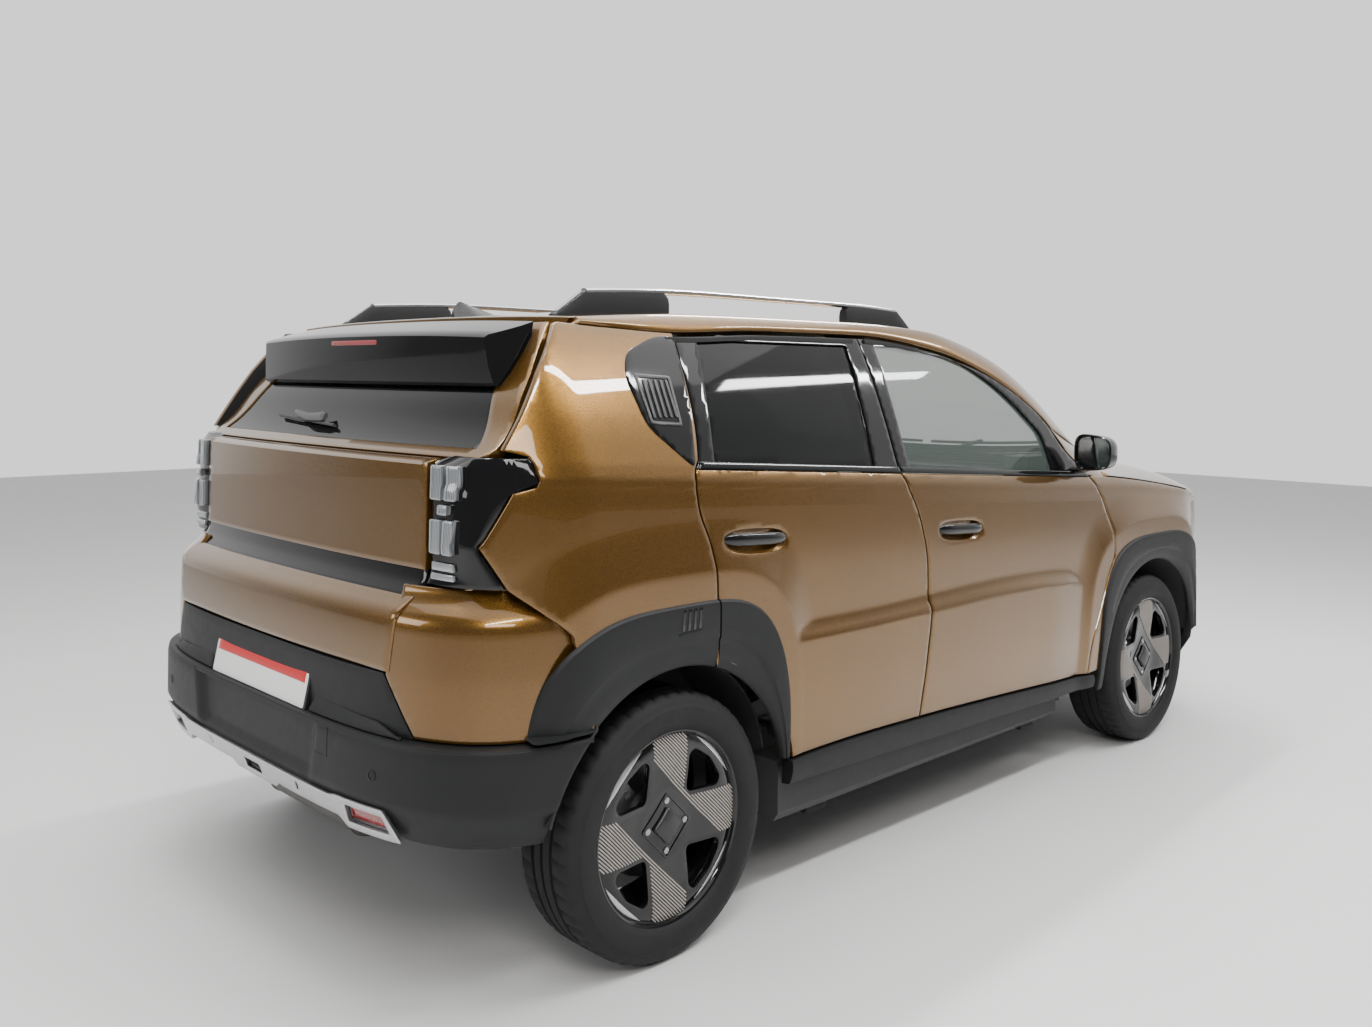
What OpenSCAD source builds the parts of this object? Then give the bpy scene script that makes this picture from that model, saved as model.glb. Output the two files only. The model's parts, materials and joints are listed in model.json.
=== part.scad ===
/* [Body] */
// Distance between the axles
wheelbase = 2540; // [2480:5:2600]
// From the front axle to the nose
front_overhang = 800; // [770:5:840]
// From the rear axle to the back of the rear bumper
rear_overhang = 660; // [640:5:700]
// Width over the wheel arches
body_width = 1763; // [1740:1:1800]
// Height of the roof's middle above the ground
roof_height = 1578; // [1550:1:1610]
// How far the flares over the wheel arches stand out
flare_depth = 17; // [10:1:22]
// How far the lower half of the doors stands out
ledge_depth = 15; // [8:1:18]
// How much the body narrows towards the tail lamps
rear_taper = 125; // [110:1:140]
// How much the body narrows towards the front lamps
front_taper = 41; // [34:1:48]
// Gap round doors, bonnet and tailgate
shut_gap = 9; // [8:0.25:11]
// Seam between panels that don't move
seam = 0.4; // [0.3:0.05:0.6]

/* [Panels] */
// Thickness of a door below its window
door_thick = 70; // [60:1:76]
// Thickness of a door's window frame
frame_thick = 34; // [28:1:38]
// Thickness of a door's front edge, where it folds over the hinges
flange_thick = 8; // [7:0.5:9]
// Thickness of the quarter panels and the front wings
wall_thick = 56; // [48:1:60]
// Thickness of the roof
roof_thick = 22; // [18:1:26]
// Thickness of the bonnet
bonnet_thick = 20; // [16:1:24]
// Thickness of the tailgate
tailgate_thick = 46; // [38:1:52]
// Thickness of the bumpers
bumper_thick = 38; // [30:1:44]
// Thickness of the arch and sill cladding
cladding_thick = 9; // [7:0.5:11]
// Thickness of the glass
glass_thick = 5; // [4:0.25:6]
// How far the glass lies behind the outer face
glass_set = 8; // [6:0.5:10]

/* [Wheels] */
// Outer radius of a tyre
tyre_radius = 318.5; // [310:0.5:322]
// Width of a tyre
tyre_width = 205; // [195:1:212]
// Radius of the rim where the tyre sits
rim_radius = 216; // [212:0.5:218]
// How far the middle of a tyre lies inside the arches
wheel_inset = 135.5; // [131:0.5:143]
// Radius of a wheel arch
arch_radius = 390; // [385:1:396]
// Radius of the hole that a stub axle runs in
axle_bore_radius = 24; // [20:0.5:28]
// Running clearance round a stub axle
run_gap = 0.3; // [0.2:0.05:0.4]
// Distance from the middle of a front tyre in to its steering axis
king_offset = 66; // [62:1:70]

/* [Cabin] */
// Width of a front seat
seat_width = 500; // [460:5:540]
// Distance of a front seat's middle from the middle of the car
seat_side = 335; // [320:1:350]
// Gap between the rear seat and the tubs over the wheels
bench_gap = 21; // [10:1:60]
// Radius of the steering wheel's rim
steering_radius = 180; // [165:1:190]
// Thickness of the steering wheel's rim
steering_rim = 28; // [24:1:34]

/* [Roof rails] */
// Distance of a rail from the middle of the car
rail_side = 530; // [515:1:545]
// Width of a rail
rail_width = 34; // [28:1:40]
// Height of a rail's bar
rail_bar = 22; // [18:1:26]
// Height of the rails' tops above the roof
rail_rise = 58; // [52:1:70]

/* [Jacking points] */
// Length of a jacking pad
pad_length = 90; // [70:1:110]
// Width of a jacking pad
pad_width = 44; // [36:1:52]
// Height of the jacking pads above the ground
pad_height = 186; // [180:1:192]

/* [Hidden] */
$fn = 64;

// Overrun of cuts
over = 1;
// Whole length and where the axles stand along it
full_length = wheelbase + front_overhang + rear_overhang;
front_x = full_length / 2 - front_overhang;
rear_x = front_x - wheelbase;
half_width = body_width / 2;
half_track = half_width - wheel_inset;
rail_top = roof_height + rail_rise;
hub_height = tyre_radius;

// Tables of shares
// Along the car: below 0 is behind the rear axle, 0 to 1 between the axles, above 1 ahead of the front one.
// Up the car: 1 is the roof. Across the car: 1 is half the width.

// Belt line: along, up
belt_shares = [[-0.9242, 0.7655], [0.0197, 0.7414], [0.8031, 0.6635], [0.9213, 0.6527], [1.625,
    0.6084]];
// Half width below the belt: up to the belt, across
lower_shares = [[0.2, 0.925], [0.34, 0.953], [0.487, 0.966], [0.66, 0.97], [0.826, 0.977], [0.922,
    0.975],
    [0.97, 0.968], [1, 0.959]];
// Half width above the belt: from the belt up to the roof, across
upper_shares = [[0, 0.959], [0.35, 0.893], [0.8, 0.789], [1, 0.722]];
// Start of the narrowing at the rear and the front, and how far it runs
rear_taper_share = -0.39;
rear_run_share = 0.371;
front_taper_share = 1.3125;
front_run_share = 0.2875;
// Flares: reach ahead of and behind the axle and above the hub, in arch radii, and their falling off
rear_flare_shares = [1.13, 1.22, 1.56];
front_flare_shares = [1.0, 1.36, 1.42];
flare_power = 3.5;
flare_fade_share = 0.2;
// Ledge along the doors: its line along and up, its band's height, where it fades out
ledge_shares = [[0, 0.488], [0.1339, 0.4766], [0.2913, 0.4721], [0.5433, 0.4766], [0.7244, 0.4658],
    [0.8425, 0.4056]];
ledge_band_share = 0.028;
ledge_fade_shares = [0.68, 0.83];

// Shut lines of the doors: up, along
front_door_shares = [[0.1901, 0.7921], [0.2167, 0.7949], [0.2795, 0.7996], [0.3549, 0.8209], [0.4284,
    0.8437],
    [0.4797, 0.8602], [0.5247, 0.8563], [0.5963, 0.8386], [0.6622, 0.8031], [0.7326, 0.7492],
    [0.7896, 0.7217], [0.879, 0.6291], [0.9309, 0.5098], [0.9398, 0.4665], [0.9696, 0.3622]];
middle_shares = [[0.1901, 0.385], [0.2522, 0.3878], [0.365, 0.3972], [0.4575, 0.4043], [0.533, 0.4008],
    [0.6236, 0.3835], [0.6971, 0.3575], [0.7161, 0.3524], [0.9696, 0.3539]];
rear_door_shares = [[0.4373, 0.0465], [0.538, 0.0441], [0.6236, 0.0374], [0.6869, 0.0228], [0.7351,
    0.0205],
    [0.7478, 0.0295], [0.9696, 0.0504]];
door_bottom_shares = [[0.0945, 0.2497], [0.2386, 0.2548], [0.3878, 0.2497], [0.5402, 0.2395],
    [0.7949, 0.218],
    [0.8425, 0.2142]];
gutter_shares = [[-0.3939, 0.9607], [-0.0909, 0.9544], [0.0492, 0.9506], [0.1831, 0.9594], [0.3602,
    0.9613],
    [0.515, 0.9354], [0.6291, 0.879], [0.7217, 0.7896], [0.7492, 0.7326]];
// Door windows: up, along
front_glass_front_shares = [[0.2218, 0.6929], [0.6812, 0.7055], [0.7541, 0.7008], [0.7921, 0.6791],
    [0.8986, 0.5772],
    [0.9316, 0.5039], [0.9436, 0.4291]];
front_glass_rear_shares = [[0.2218, 0.4291], [0.4816, 0.4291], [0.6337, 0.4024], [0.7155, 0.3752],
    [0.9436, 0.3799]];
rear_glass_front_shares = [[0.2471, 0.3071], [0.7269, 0.3083], [0.9417, 0.3268]];
rear_glass_rear_shares = [[0.2471, 0.185], [0.3549, 0.1614], [0.507, 0.0866], [0.7465, 0.0528],
    [0.9417, 0.0795]];
glass_top_share = 0.9417;
// Rear edge of the quarter panel: up, along
quarter_shares = [[0.3549, -0.3939], [0.5234, -0.4939], [0.5868, -0.6742], [0.6464, -0.7485],
    [0.6527, -0.7364],
    [0.7237, -0.6576], [0.7288, -0.5848], [0.7687, -0.6], [0.775, -0.6788], [0.8238, -0.603],
    [0.8872, -0.5091], [0.9664, -0.3682]];
// Rear door arch and hinge axes: along, across
front_hinge_shares = [0.7835, 0.9529];
rear_hinge_shares = [0.3717, 0.9665];
// Tail: up, along, at the middle of the car, and how much it bows
tail_shares = [[0.4436, -0.9485], [0.4658, -0.9515], [0.545, -0.9424], [0.5735, -0.8712], [0.6052,
    -0.8303],
    [0.7573, -0.8242], [0.7643, -0.7652], [0.8587, -0.5576], [0.9157, -0.4545],
    [0.9569, -0.3758], [0.9759, -0.3333]];
tail_bow_share = 0.033;
// Edge of the tailgate and of its window: up, across
tailgate_shares = [[0.4436, 0.6353], [0.4689, 0.6489], [0.545, 0.667], [0.5735, 0.6716], [0.7738,
    0.6727],
    [0.775, 0.8315], [0.8238, 0.8077], [0.8872, 0.7669], [0.9506, 0.7158], [0.9759, 0.6943]];
tail_glass_shares = [[0.4436, 0.6353], [0.6337, 0.6353], [0.6971, 0.6636], [0.7738, 0.667], [0.775,
    0.751],
    [0.7807, 0.7487], [0.858, 0.667], [0.9759, 0.5899]];
tail_heights_shares = [0.4689, 0.5735, 0.7738, 0.775, 0.7807, 0.858, 0.9645];
// Windscreen side: along, across, up
pillar_shares = [[0.8386, 0.8508, 0.7224], [0.7921, 0.8372, 0.7744], [0.7323, 0.8123, 0.846],
    [0.6654, 0.785, 0.9087], [0.5862, 0.7533, 0.9556]];
// Windscreen middle: along, up
screen_shares = [[0.9016, 0.692], [0.8386, 0.7636], [0.7677, 0.8397], [0.6969, 0.9106], [0.6122,
    0.981]];
// Roof: middle and edge, along and up
roof_shares = [[-0.3939, 0.9747], [0.0157, 0.9899], [0.1732, 0.9994], [0.3701, 1], [0.5276, 0.9962],
    [0.6122, 0.981]];
roof_edge_shares = [[-0.3939, 0.9677], [0.1087, 0.9861], [0.3614, 0.9886], [0.4949, 0.981], [0.5862,
    0.9556]];
// Bonnet: middle line and seam to the wing, along and up
bonnet_shares = [[0.8583, 0.6971], [0.9154, 0.6907], [1.125, 0.6819], [1.5, 0.6578], [1.75, 0.6242],
    [1.9125, 0.5894], [1.9688, 0.5735]];
bonnet_seam_shares = [[0.8031, 0.6667], [0.8819, 0.6559], [1.0625, 0.6293], [1.5, 0.5925], [1.625,
    0.5735],
    [1.9688, 0.564]];
bonnet_rear_shares = [0.9154, 0.8654];
// Nose and tail in plan: centre, along; power
nose_share = 1.3125;
nose_power = 2.3;
nose_width_share = 0.985;
rump_share = -0.1667;
rump_power = 4;
rump_width_share = 0.998;
// Front edge of the front wing: up, along
wing_shares = [[0.3549, 1.55], [0.6084, 1.55]];
// Bumpers: heights up and set-backs as shares of their thickness
rear_bumper_shares = [0.2351, 0.2928, 0.3802, 0.3878, 0.4664, 0.5868];
rear_set_shares = [1.9, 0, 0, 0.75, 0.75, 1.3];
front_bumper_shares = [0.1496, 0.2155, 0.2978, 0.3802];
front_set_shares = [1.9, 0.3, 0, 0.15];

// Floor: along, up
floor_shares = [[0.837, 0.62794], [0.2756, 0.62794], [0.252, 1.16797], [-0.7576, 1.16797], [-0.7576,
    1.21193],
    [0.2559, 1.21193], [0.2795, 0.6719], [0.837, 0.6719]];

// Functions for places
function px(s) = s < 0 ? rear_x + s * rear_overhang : s > 1 ? front_x + (s - 1) * front_overhang :
    rear_x + s * wheelbase;
function sx(x) = x < rear_x ? (x - rear_x) / rear_overhang : x > front_x ? 1 + (x - front_x)
    / front_overhang
    : (x - rear_x) / wheelbase;
function pz(s) = s * roof_height;
function py(s) = s * half_width;
function mix(a, b, t) = a + (b - a) * t;
function clamp(t) = max(0, min(1, t));
// Where an upright edge stands at a height, and how high a level line is at a place
function edge(table, z) = px(lookup(z / roof_height, table));
function level(table, x) = pz(lookup(sx(x), table));
function across(table, z) = py(lookup(z / roof_height, table));
function belt(x) = level(belt_shares, x);

// How far a point lies out from a wheel arch, 1 on the flare's crease
function reach(x, z, axle, f) = let (
    dx = abs(x - axle) / (arch_radius * (x > axle ? f[0] : f[1])),
    dz = max(0, z - hub_height) / (arch_radius * f[2])
) pow(pow(dx, flare_power) + pow(dz, flare_power), 1 / flare_power);
function swell(r) = clamp(1 - (r - 1) / flare_fade_share);
function flare(x, z) = flare_depth * max(swell(reach(x, z, rear_x, rear_flare_shares)),
    swell(reach(x, z, front_x, front_flare_shares)));
function ledge(x, z) = ledge_depth * clamp((level(ledge_shares, x) - z) / pz(ledge_band_share))
    * clamp((ledge_fade_shares[1] - sx(x)) / (ledge_fade_shares[1] - ledge_fade_shares[0]));
function narrow(x) = let (
    r = max(0, (rear_taper_share - sx(x)) / rear_run_share),
    f = max(0, (sx(x) - front_taper_share) / front_run_share)
) rear_taper * r * r + front_taper * f * f;
// Half width of the body side
function side(x, z) = let (b = belt(x))
    (z <= b ? py(lookup(z / b, lower_shares)) : py(lookup((z - b) / (roof_height - b), upper_shares)))
    - narrow(x) + (z <= b ? max(flare(x, z), ledge(x, z)) : 0);
// Plan curves of the nose and the rump, set back by d
function bow(c, reach, width, power, t, d) = let (s = sin(t), k = cos(t))
    [c + (reach > 0 ? reach - d : reach + d) * pow(abs(s), 2 / power), (width - d) * sign(k)
        * pow(abs(k), 2 / power)];
function nose(t, d) = bow(px(nose_share), full_length / 2 - px(nose_share), py(nose_width_share),
    nose_power, t, d);
function rump(t, d) = bow(px(rump_share), -full_length / 2 - px(rump_share), py(rump_width_share),
    rump_power, t, d);
// Angle on a plan curve where it has come to a place along, or to a place across
function nose_at(x, d) = asin(pow(clamp((x - px(nose_share)) / (full_length / 2 - px(nose_share) -
    d)), nose_power / 2));
function rump_at(x, d) = asin(pow(clamp((px(rump_share) - x) / (full_length / 2 + px(rump_share) -
    d)), rump_power / 2));
function rump_across(y, d) = acos(pow(clamp(y / (py(rump_width_share) - d)), rump_power / 2));
function nose_across(y, d) = acos(pow(clamp(y / (py(nose_width_share) - d)), nose_power / 2));
// Face of the tail at a place across and up
tail_wide_share = 0.67;
tail_power = 2.2;
function tail(y, z) = edge(tail_shares, z) + rear_overhang * tail_bow_share * pow(abs(y)
    / (half_width * tail_wide_share), tail_power);
// Front edge of a wheel arch behind or ahead of an axle
function arch(z) = sqrt(max(0, arch_radius * arch_radius - (z - hub_height) * (z - hub_height)));

// Nets of points
// A station is a segment and a share of it
function stations(counts) = concat(
    [for (k = [0 : len(counts) - 1]) for (i = [0 : counts[k] - 1]) [k, i / counts[k]]],
    [[len(counts) - 1, 1]]);
// The point where an upright curve and a level curve cross
half_share = 0.5;
function settle(us, vs, c, r, n = 4, u) = let (
    u0 = is_undef(u) ? us[c[0]](pz(half_share)) : u,
    v = mix(vs[r[0]](u0), vs[r[0] + 1](u0), r[1]),
    u1 = mix(us[c[0]](v), us[c[0] + 1](v), c[1])
) n == 0 ? [u1, v] : settle(us, vs, c, r, n - 1, u1);
function net(us, vs, cs, rs) = [for (c = cs) [for (r = rs) settle(us, vs, c, r)]];

// Closed shell between an outer and an inner net, without the cells that keep refuses
module shell(outer, inner, keep = function(i, j) true) {
    nu = len(outer) - 1;
    nv = len(outer[0]) - 1;
    in_net = function(i, j) i >= 0 && j >= 0 && i < nu && j < nv && keep(i, j);
    o = function(i, j) i * (nv + 1) + j;
    p = function(i, j) (nu + 1) * (nv + 1) + i * (nv + 1) + j;
    two = function(q) [[q[0], q[1], q[2]], [q[0], q[2], q[3]]];
    polyhedron(
        points = concat([for (a = outer) for (b = a) b], [for (a = inner) for (b = a) b]),
        faces = [for (i = [0 : nu - 1]) for (j = [0 : nv - 1]) if (in_net(i, j)) each concat(
            two([o(i, j), o(i, j + 1), o(i + 1, j + 1), o(i + 1, j)]),
            two([p(i, j), p(i + 1, j), p(i + 1, j + 1), p(i, j + 1)]),
            in_net(i, j - 1) ? [] : two([o(i, j), o(i + 1, j), p(i + 1, j), p(i, j)]),
            in_net(i, j + 1) ? [] : two([o(i + 1, j + 1), o(i, j + 1), p(i, j + 1), p(i + 1, j + 1)]),
            in_net(i - 1, j) ? [] : two([o(i, j + 1), o(i, j), p(i, j), p(i, j + 1)]),
            in_net(i + 1, j) ? [] : two([o(i + 1, j), o(i + 1, j + 1), p(i + 1, j + 1), p(i + 1,
                j)]))]);
}
// Panel of the body side, from skin inside the outer face to deep inside it
module side_panel(us, vs, nu, nv, skin, deep, keep = function(c, r) true) {
    cs = stations(nu);
    rs = stations(nv);
    pts = net(us, vs, cs, rs);
    at = function(i, j, d) [pts[i][j][0], side(pts[i][j][0], pts[i][j][1]) - d, pts[i][j][1]];
    shell([for (i = [0 : len(cs) - 1]) [for (j = [0 : len(rs) - 1]) at(i, j, skin(cs[i], rs[j]))]],
        [for (i = [0 : len(cs) - 1]) [for (j = [0 : len(rs) - 1]) at(i, j, deep(cs[i], rs[j]))]],
        function(i, j) keep(cs[i], rs[j]));
}
// Outline along and up, extruded across from y0 to y1
module side_prism(points, y0, y1) {
    translate([0, y1, 0]) rotate([90, 0, 0]) linear_extrude(y1 - y0) polygon(points);
}
module right_side() { mirror([0, 1, 0]) children(); }
module both_sides() {
    children();
    right_side() children();
}

// Floor and the wall ahead of the cabin
tub_gap = 4;
tub_thick = 5;
floor_thick = 14;
// The floor's heights follow the hubs
function floor_outline() = [for (s = floor_shares) [px(s[0]), hub_height * s[1]]];
floor_top = floor_outline()[7][1];
boot_floor = [floor_outline()[3][1], floor_outline()[4][1]];
wall_x = front_x - arch_radius - tub_gap - tub_thick - seam;

// Doors
half_gap = shut_gap / 2;
front_hinge = [px(front_hinge_shares[0]), py(front_hinge_shares[1])];
rear_hinge = [px(rear_hinge_shares[0]), py(rear_hinge_shares[1])];
// The folded front edge runs back past the hinge, and the door thickens over a short step
fold_share = 0.36;
fold_in_share = 0.07;
step_share = 0.14;
function fold(x, hinge) = min(x - door_thick * fold_in_share, hinge[0] - door_thick * fold_share);
// The thin hem at the rear edge of a door and of a front wing
hem_wide = 26;
hem_thick = 5;
hem_step_share = 0.8;
function rear_door_end(z) = max(edge(rear_door_shares, z), rear_x + arch(z)) + half_gap;
top_corner_share = 0.4598;
glass_frame_share = 0.2;
top_gap_share = 0.8;
function door_top(x) = level(gutter_shares, min(x, px(top_corner_share))) - shut_gap * top_gap_share;
door_rows = [
    function(x) level(door_bottom_shares, x) + half_gap,
    function(x) belt(x),
    function(x) min(pz(glass_top_share), door_top(x) - frame_thick * glass_frame_share),
    function(x) door_top(x)];
front_door_columns = [
    function(z) edge(front_door_shares, z) - half_gap,
    function(z) fold(edge(front_door_shares, z) - half_gap, front_hinge),
    function(z) fold(edge(front_door_shares, z) - half_gap, front_hinge) - door_thick * step_share,
    function(z) edge(front_glass_front_shares, z),
    function(z) edge(front_glass_rear_shares, z),
    function(z) edge(middle_shares, z) + half_gap + hem_wide,
    function(z) edge(middle_shares, z) + half_gap + hem_wide * hem_step_share,
    function(z) edge(middle_shares, z) + half_gap];
rear_door_columns = [
    function(z) edge(middle_shares, z) - half_gap,
    function(z) fold(edge(middle_shares, z) - half_gap, rear_hinge),
    function(z) fold(edge(middle_shares, z) - half_gap, rear_hinge) - door_thick * step_share,
    function(z) edge(rear_glass_front_shares, z),
    function(z) edge(rear_glass_rear_shares, z),
    function(z) rear_door_end(z) + hem_wide,
    function(z) rear_door_end(z) + hem_wide * hem_step_share,
    function(z) rear_door_end(z)];
function door_deep(c, r) = c[0] == 0 || (c[0] == 1 && c[1] == 0) ? flange_thick
    : c[0] == 6 ? hem_thick
    : r[0] == 0 || (r[0] == 1 && r[1] == 0) ? door_thick : frame_thick;
module door(columns) {
    side_panel(columns, door_rows, [1, 1, 2, 5, 1, 1, 1], [9, 5, 1], function(c, r) 0, function(c, r)
        door_deep(c, r),
        function(c, r) !(c[0] == 3 && r[0] == 1));
}
pane_lap = 9.6;
pane_gap = 1.6;
module door_pane(columns) {
    us = [function(z) columns[3](z) - pane_lap, function(z) columns[4](z) + pane_gap];
    vs = [function(x) door_rows[1](x) + seam, function(x) door_rows[2](x) - pane_gap];
    side_panel(us, vs, [5], [5], function(c, r) glass_set, function(c, r) glass_set + glass_thick);
}
paint = "#b07a30";
dark = "#2b2d2f";
black = "#141517";
module door_front_left() { color(paint) door(front_door_columns); }
module door_front_right() { color(paint) right_side() door(front_door_columns); }
module rear_door() {
    color(paint) door(rear_door_columns);
    color(dark) rear_door_ring();
}
module door_rear_left() { rear_door(); }
module door_rear_right() { right_side() rear_door(); }
module glass_front_left() { color("#7d8f86") door_pane(front_door_columns); }
module glass_front_right() { color("#7d8f86") right_side() door_pane(front_door_columns); }
module glass_rear_left() { color("#2a2f2f") door_pane(rear_door_columns); }
module glass_rear_right() { color("#2a2f2f") right_side() door_pane(rear_door_columns); }

// Body side frames: quarter panel, pillars, roof rail and rocker
pillar_set = 26;
pillar_deep = 44;
rail_drop_shares = [-0.2143, -0.75, -0.4643];
gutter_drop_shares = [0, -1.25, 0.0714];
rail_lift = 3.5;
middle_drop_shares = [-0.2143, -0.9286, -0.25];
function pillar_edge(i) = let (s = pillar_shares[i]) [px(s[0]), py(s[1]), pz(s[2])];
function edge_point(x) = let (z = level(roof_edge_shares, x)) [x, side(x, z), z];
// Stations along the roof rail: places on the gutter and on the roof's or the windscreen's edge
rail_gutter_shares = [0.7315, 0.7165, 0.6772, 0.6291, 0.5709, 0.515, 0.3602, 0.1831, 0.0492, -0.0909,
    -0.2606];
rail_edge_shares = [0.4949, 0.3614, 0.1831, 0.0492, -0.0909, -0.2606];
function rail_points() = let (
    g = [for (s = rail_gutter_shares) let (x = px(s), z = level(gutter_shares, x) + rail_lift) [x,
        side(x, z), z]],
    e = concat([for (i = [0 : 4]) pillar_edge(i)], [for (s = rail_edge_shares) edge_point(px(s))])
) [for (i = [0 : len(g) - 1]) [g[i], mix(g[i], e[i], 0.5) + [0, flange_thick, 0], e[i]]];
module roof_side() {
    o = rail_points();
    shell(o, [for (a = o) [a[0] + wall_thick * gutter_drop_shares, a[1] +
        wall_thick * middle_drop_shares,
        a[2] + wall_thick * rail_drop_shares]]);
}
quarter_columns = [
    function(z) max(edge(rear_door_shares, z), rear_x - arch(z)) - half_gap,
    function(z) edge(quarter_shares, z)];
quarter_rows_shares = [0.5234, 0.5868, 0.6464, 0.6527, 0.7237, 0.7288, 0.7687, 0.775];
quarter_lip = 18;
quarter_rows = [
    function(x) hub_height + sqrt(max(0, arch_radius * arch_radius - (x - rear_x) * (x - rear_x))),
    function(x) pz(quarter_rows_shares[0]),
    function(x) pz(quarter_rows_shares[1]),
    function(x) pz(quarter_rows_shares[2]),
    function(x) pz(quarter_rows_shares[3]),
    function(x) pz(quarter_rows_shares[4]),
    function(x) pz(quarter_rows_shares[5]),
    function(x) pz(quarter_rows_shares[6]),
    function(x) pz(quarter_rows_shares[7]),
    function(x) level(gutter_shares, x) + rail_lift - seam];
module quarter() {
    side_panel(quarter_columns, quarter_rows, [7], [3, 2, 2, 1, 2, 1, 1, 1, 5], function(c, r) 0,
        function(c, r) r[0] == 8 && c[1] == 1 ? quarter_lip : wall_thick);
}
middle_post_shares = [0.4035, 0.3394];
post_top_share = 0.9708;
module middle_post() {
    us = [function(z) px(middle_post_shares[0]), function(z) px(middle_post_shares[1])];
    vs = [function(x) level(door_bottom_shares, x) - pillar_set, function(x) belt(x) - pillar_set,
        function(x) belt(x) + door_thick, function(x) pz(post_top_share)];
    skin = function(c, r) (r[0] <= 1 && !(r[0] == 1 && r[1] == 1) && !(r[0] == 2) ? door_thick :
        frame_thick) + pillar_set;
    side_panel(us, vs, [1], [5, 1, 3], skin, function(c, r) skin(c, r) + pillar_deep);
}
rocker_shares = [[0.1614, 0.1356], [0.7421, 0.1356], [0.7421, 0.2117], [0.3878, 0.2395], [0.1614,
    0.2395]];
rocker_across_shares = [0.7815, 0.916];
pad_shares = [0.6929, 0.2441];
function outline(table) = [for (s = table) [px(s[0]), pz(s[1])]];
module rocker() {
    side_prism(outline(rocker_shares), py(rocker_across_shares[0]), py(rocker_across_shares[1]));
    for (s = pad_shares) translate([px(s) - pad_length / 2, mix(py(rocker_across_shares[0]),
        py(rocker_across_shares[1]), 0.5)
        - pad_width / 2, pad_height]) cube([pad_length, pad_width, pz(rocker_shares[0][1]) -
            pad_height + over]);
}
module side_frames() {
    color(paint) both_sides() {
        roof_side();
        quarter();
        middle_post();
        rocker();
    }
}
// Front hinge posts with the arms and barrels of the door hinges
post_shares = [0.6337, 0.7053];
post_deep = 225.7;
post_across_shares = [0.66, 0.771];
barrel_height = 32;
arm_width = 14;
arm_share = 1.3;
front_barrel_shares = [0.4436, 0.5577];
rear_barrel_shares = [0.3587, 0.4056];
barrel_sink = 0.3;
front_sink = 1.8;
rear_sink = 1.9;
function barrel_radius(hinge, z) = side(hinge[0], z) - flange_thick - barrel_sink - hinge[1]
    - (hinge[0] > 0 ? front_sink : rear_sink);
module barrel(hinge, z, y0) {
    r = min(barrel_radius(hinge, z), barrel_radius(hinge, z + barrel_height), barrel_radius(hinge,
        z + barrel_height / 2));
    translate([hinge[0], hinge[1], z]) cylinder(r = r, h = barrel_height);
    w = min(arm_width, r * arm_share);
    translate([hinge[0] - w / 2, y0, z]) cube([w, hinge[1] - y0, barrel_height]);
}
// Block under the roof's rear edge that the tailgate hangs on
block_size = [34, 60, 20];
block_side = 430;
block_gap = 2;
module lid_block() {
    y = block_side + block_size[1];
    u = y / (py(roof_wide_share) * (1 - roof_pull * roof_thick / half_width));
    r = roof_rear(y);
    z = mix(level(roof_shares, r), level(roof_edge_shares, r), pow(u, roof_power)) - roof_thick -
        block_size[2] + seam / 2;
    x = tail(block_side + block_size[1], z + block_size[2]) + lid_deep(z + block_size[2]) + block_gap;
    translate([x, block_side, z]) cube(block_size);
}
module hinge_posts() {
    color(dark) both_sides() {
        side_prism([[wall_x - floor_thick - seam - post_deep, floor_top + seam], [wall_x -
            floor_thick - seam, floor_top + seam],
            [wall_x - floor_thick - seam, pz(post_shares[1])], [wall_x - floor_thick - seam -
                post_deep, pz(post_shares[1])]],
            py(post_across_shares[0]), py(post_across_shares[1]));
        for (s = front_barrel_shares) barrel(front_hinge, pz(s), py(post_across_shares[1]));
        for (s = rear_barrel_shares) barrel(rear_hinge, pz(s),
            side(rear_hinge[0], pz(s)) - door_thick - pillar_set + seam);
        lid_block();
    }
}

// Roof
// Rear edge of the roof, clear of the tailgate
function roof_rear(y) = tail(y, tail_z[6]) + lid_edge + shut_gap;
function roof_at(u, t) = let (
    front = mix(px(screen_shares[4][0]), px(pillar_shares[4][0]), u * u) - seam - glass_thick,
    x = mix(front, roof_rear(u * py(roof_wide_share)), t),
    e = edge_point(min(x, px(pillar_shares[4][0]))),
    y = min(e[1], mix(e[1], py(pillar_shares[4][1]), clamp((x - px(rail_edge_shares[0]))
        / (px(pillar_shares[4][0]) - px(rail_edge_shares[0])))))
) [x, u * (y - roof_ditch), mix(level(roof_shares, x), e[2], pow(abs(u), roof_power))];
// The roof's edges lean in like the faces that they meet
roof_wide_share = 0.715;
roof_pull = 3.2;
roof_power = 2.4;
roof_ditch = 6;
module roof_panel() {
    us = [for (i = [0 : 12]) 1 - i / 6];
    ts = [for (j = [0 : 14]) 1 - j / 14];
    o = [for (u = us) [for (t = ts) roof_at(u, t)]];
    color(paint) shell(o, [for (a = o) [for (b = a)
        [b[0], b[1] * (1 - roof_pull * roof_thick / half_width), b[2] - roof_thick]]]);
}
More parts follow.
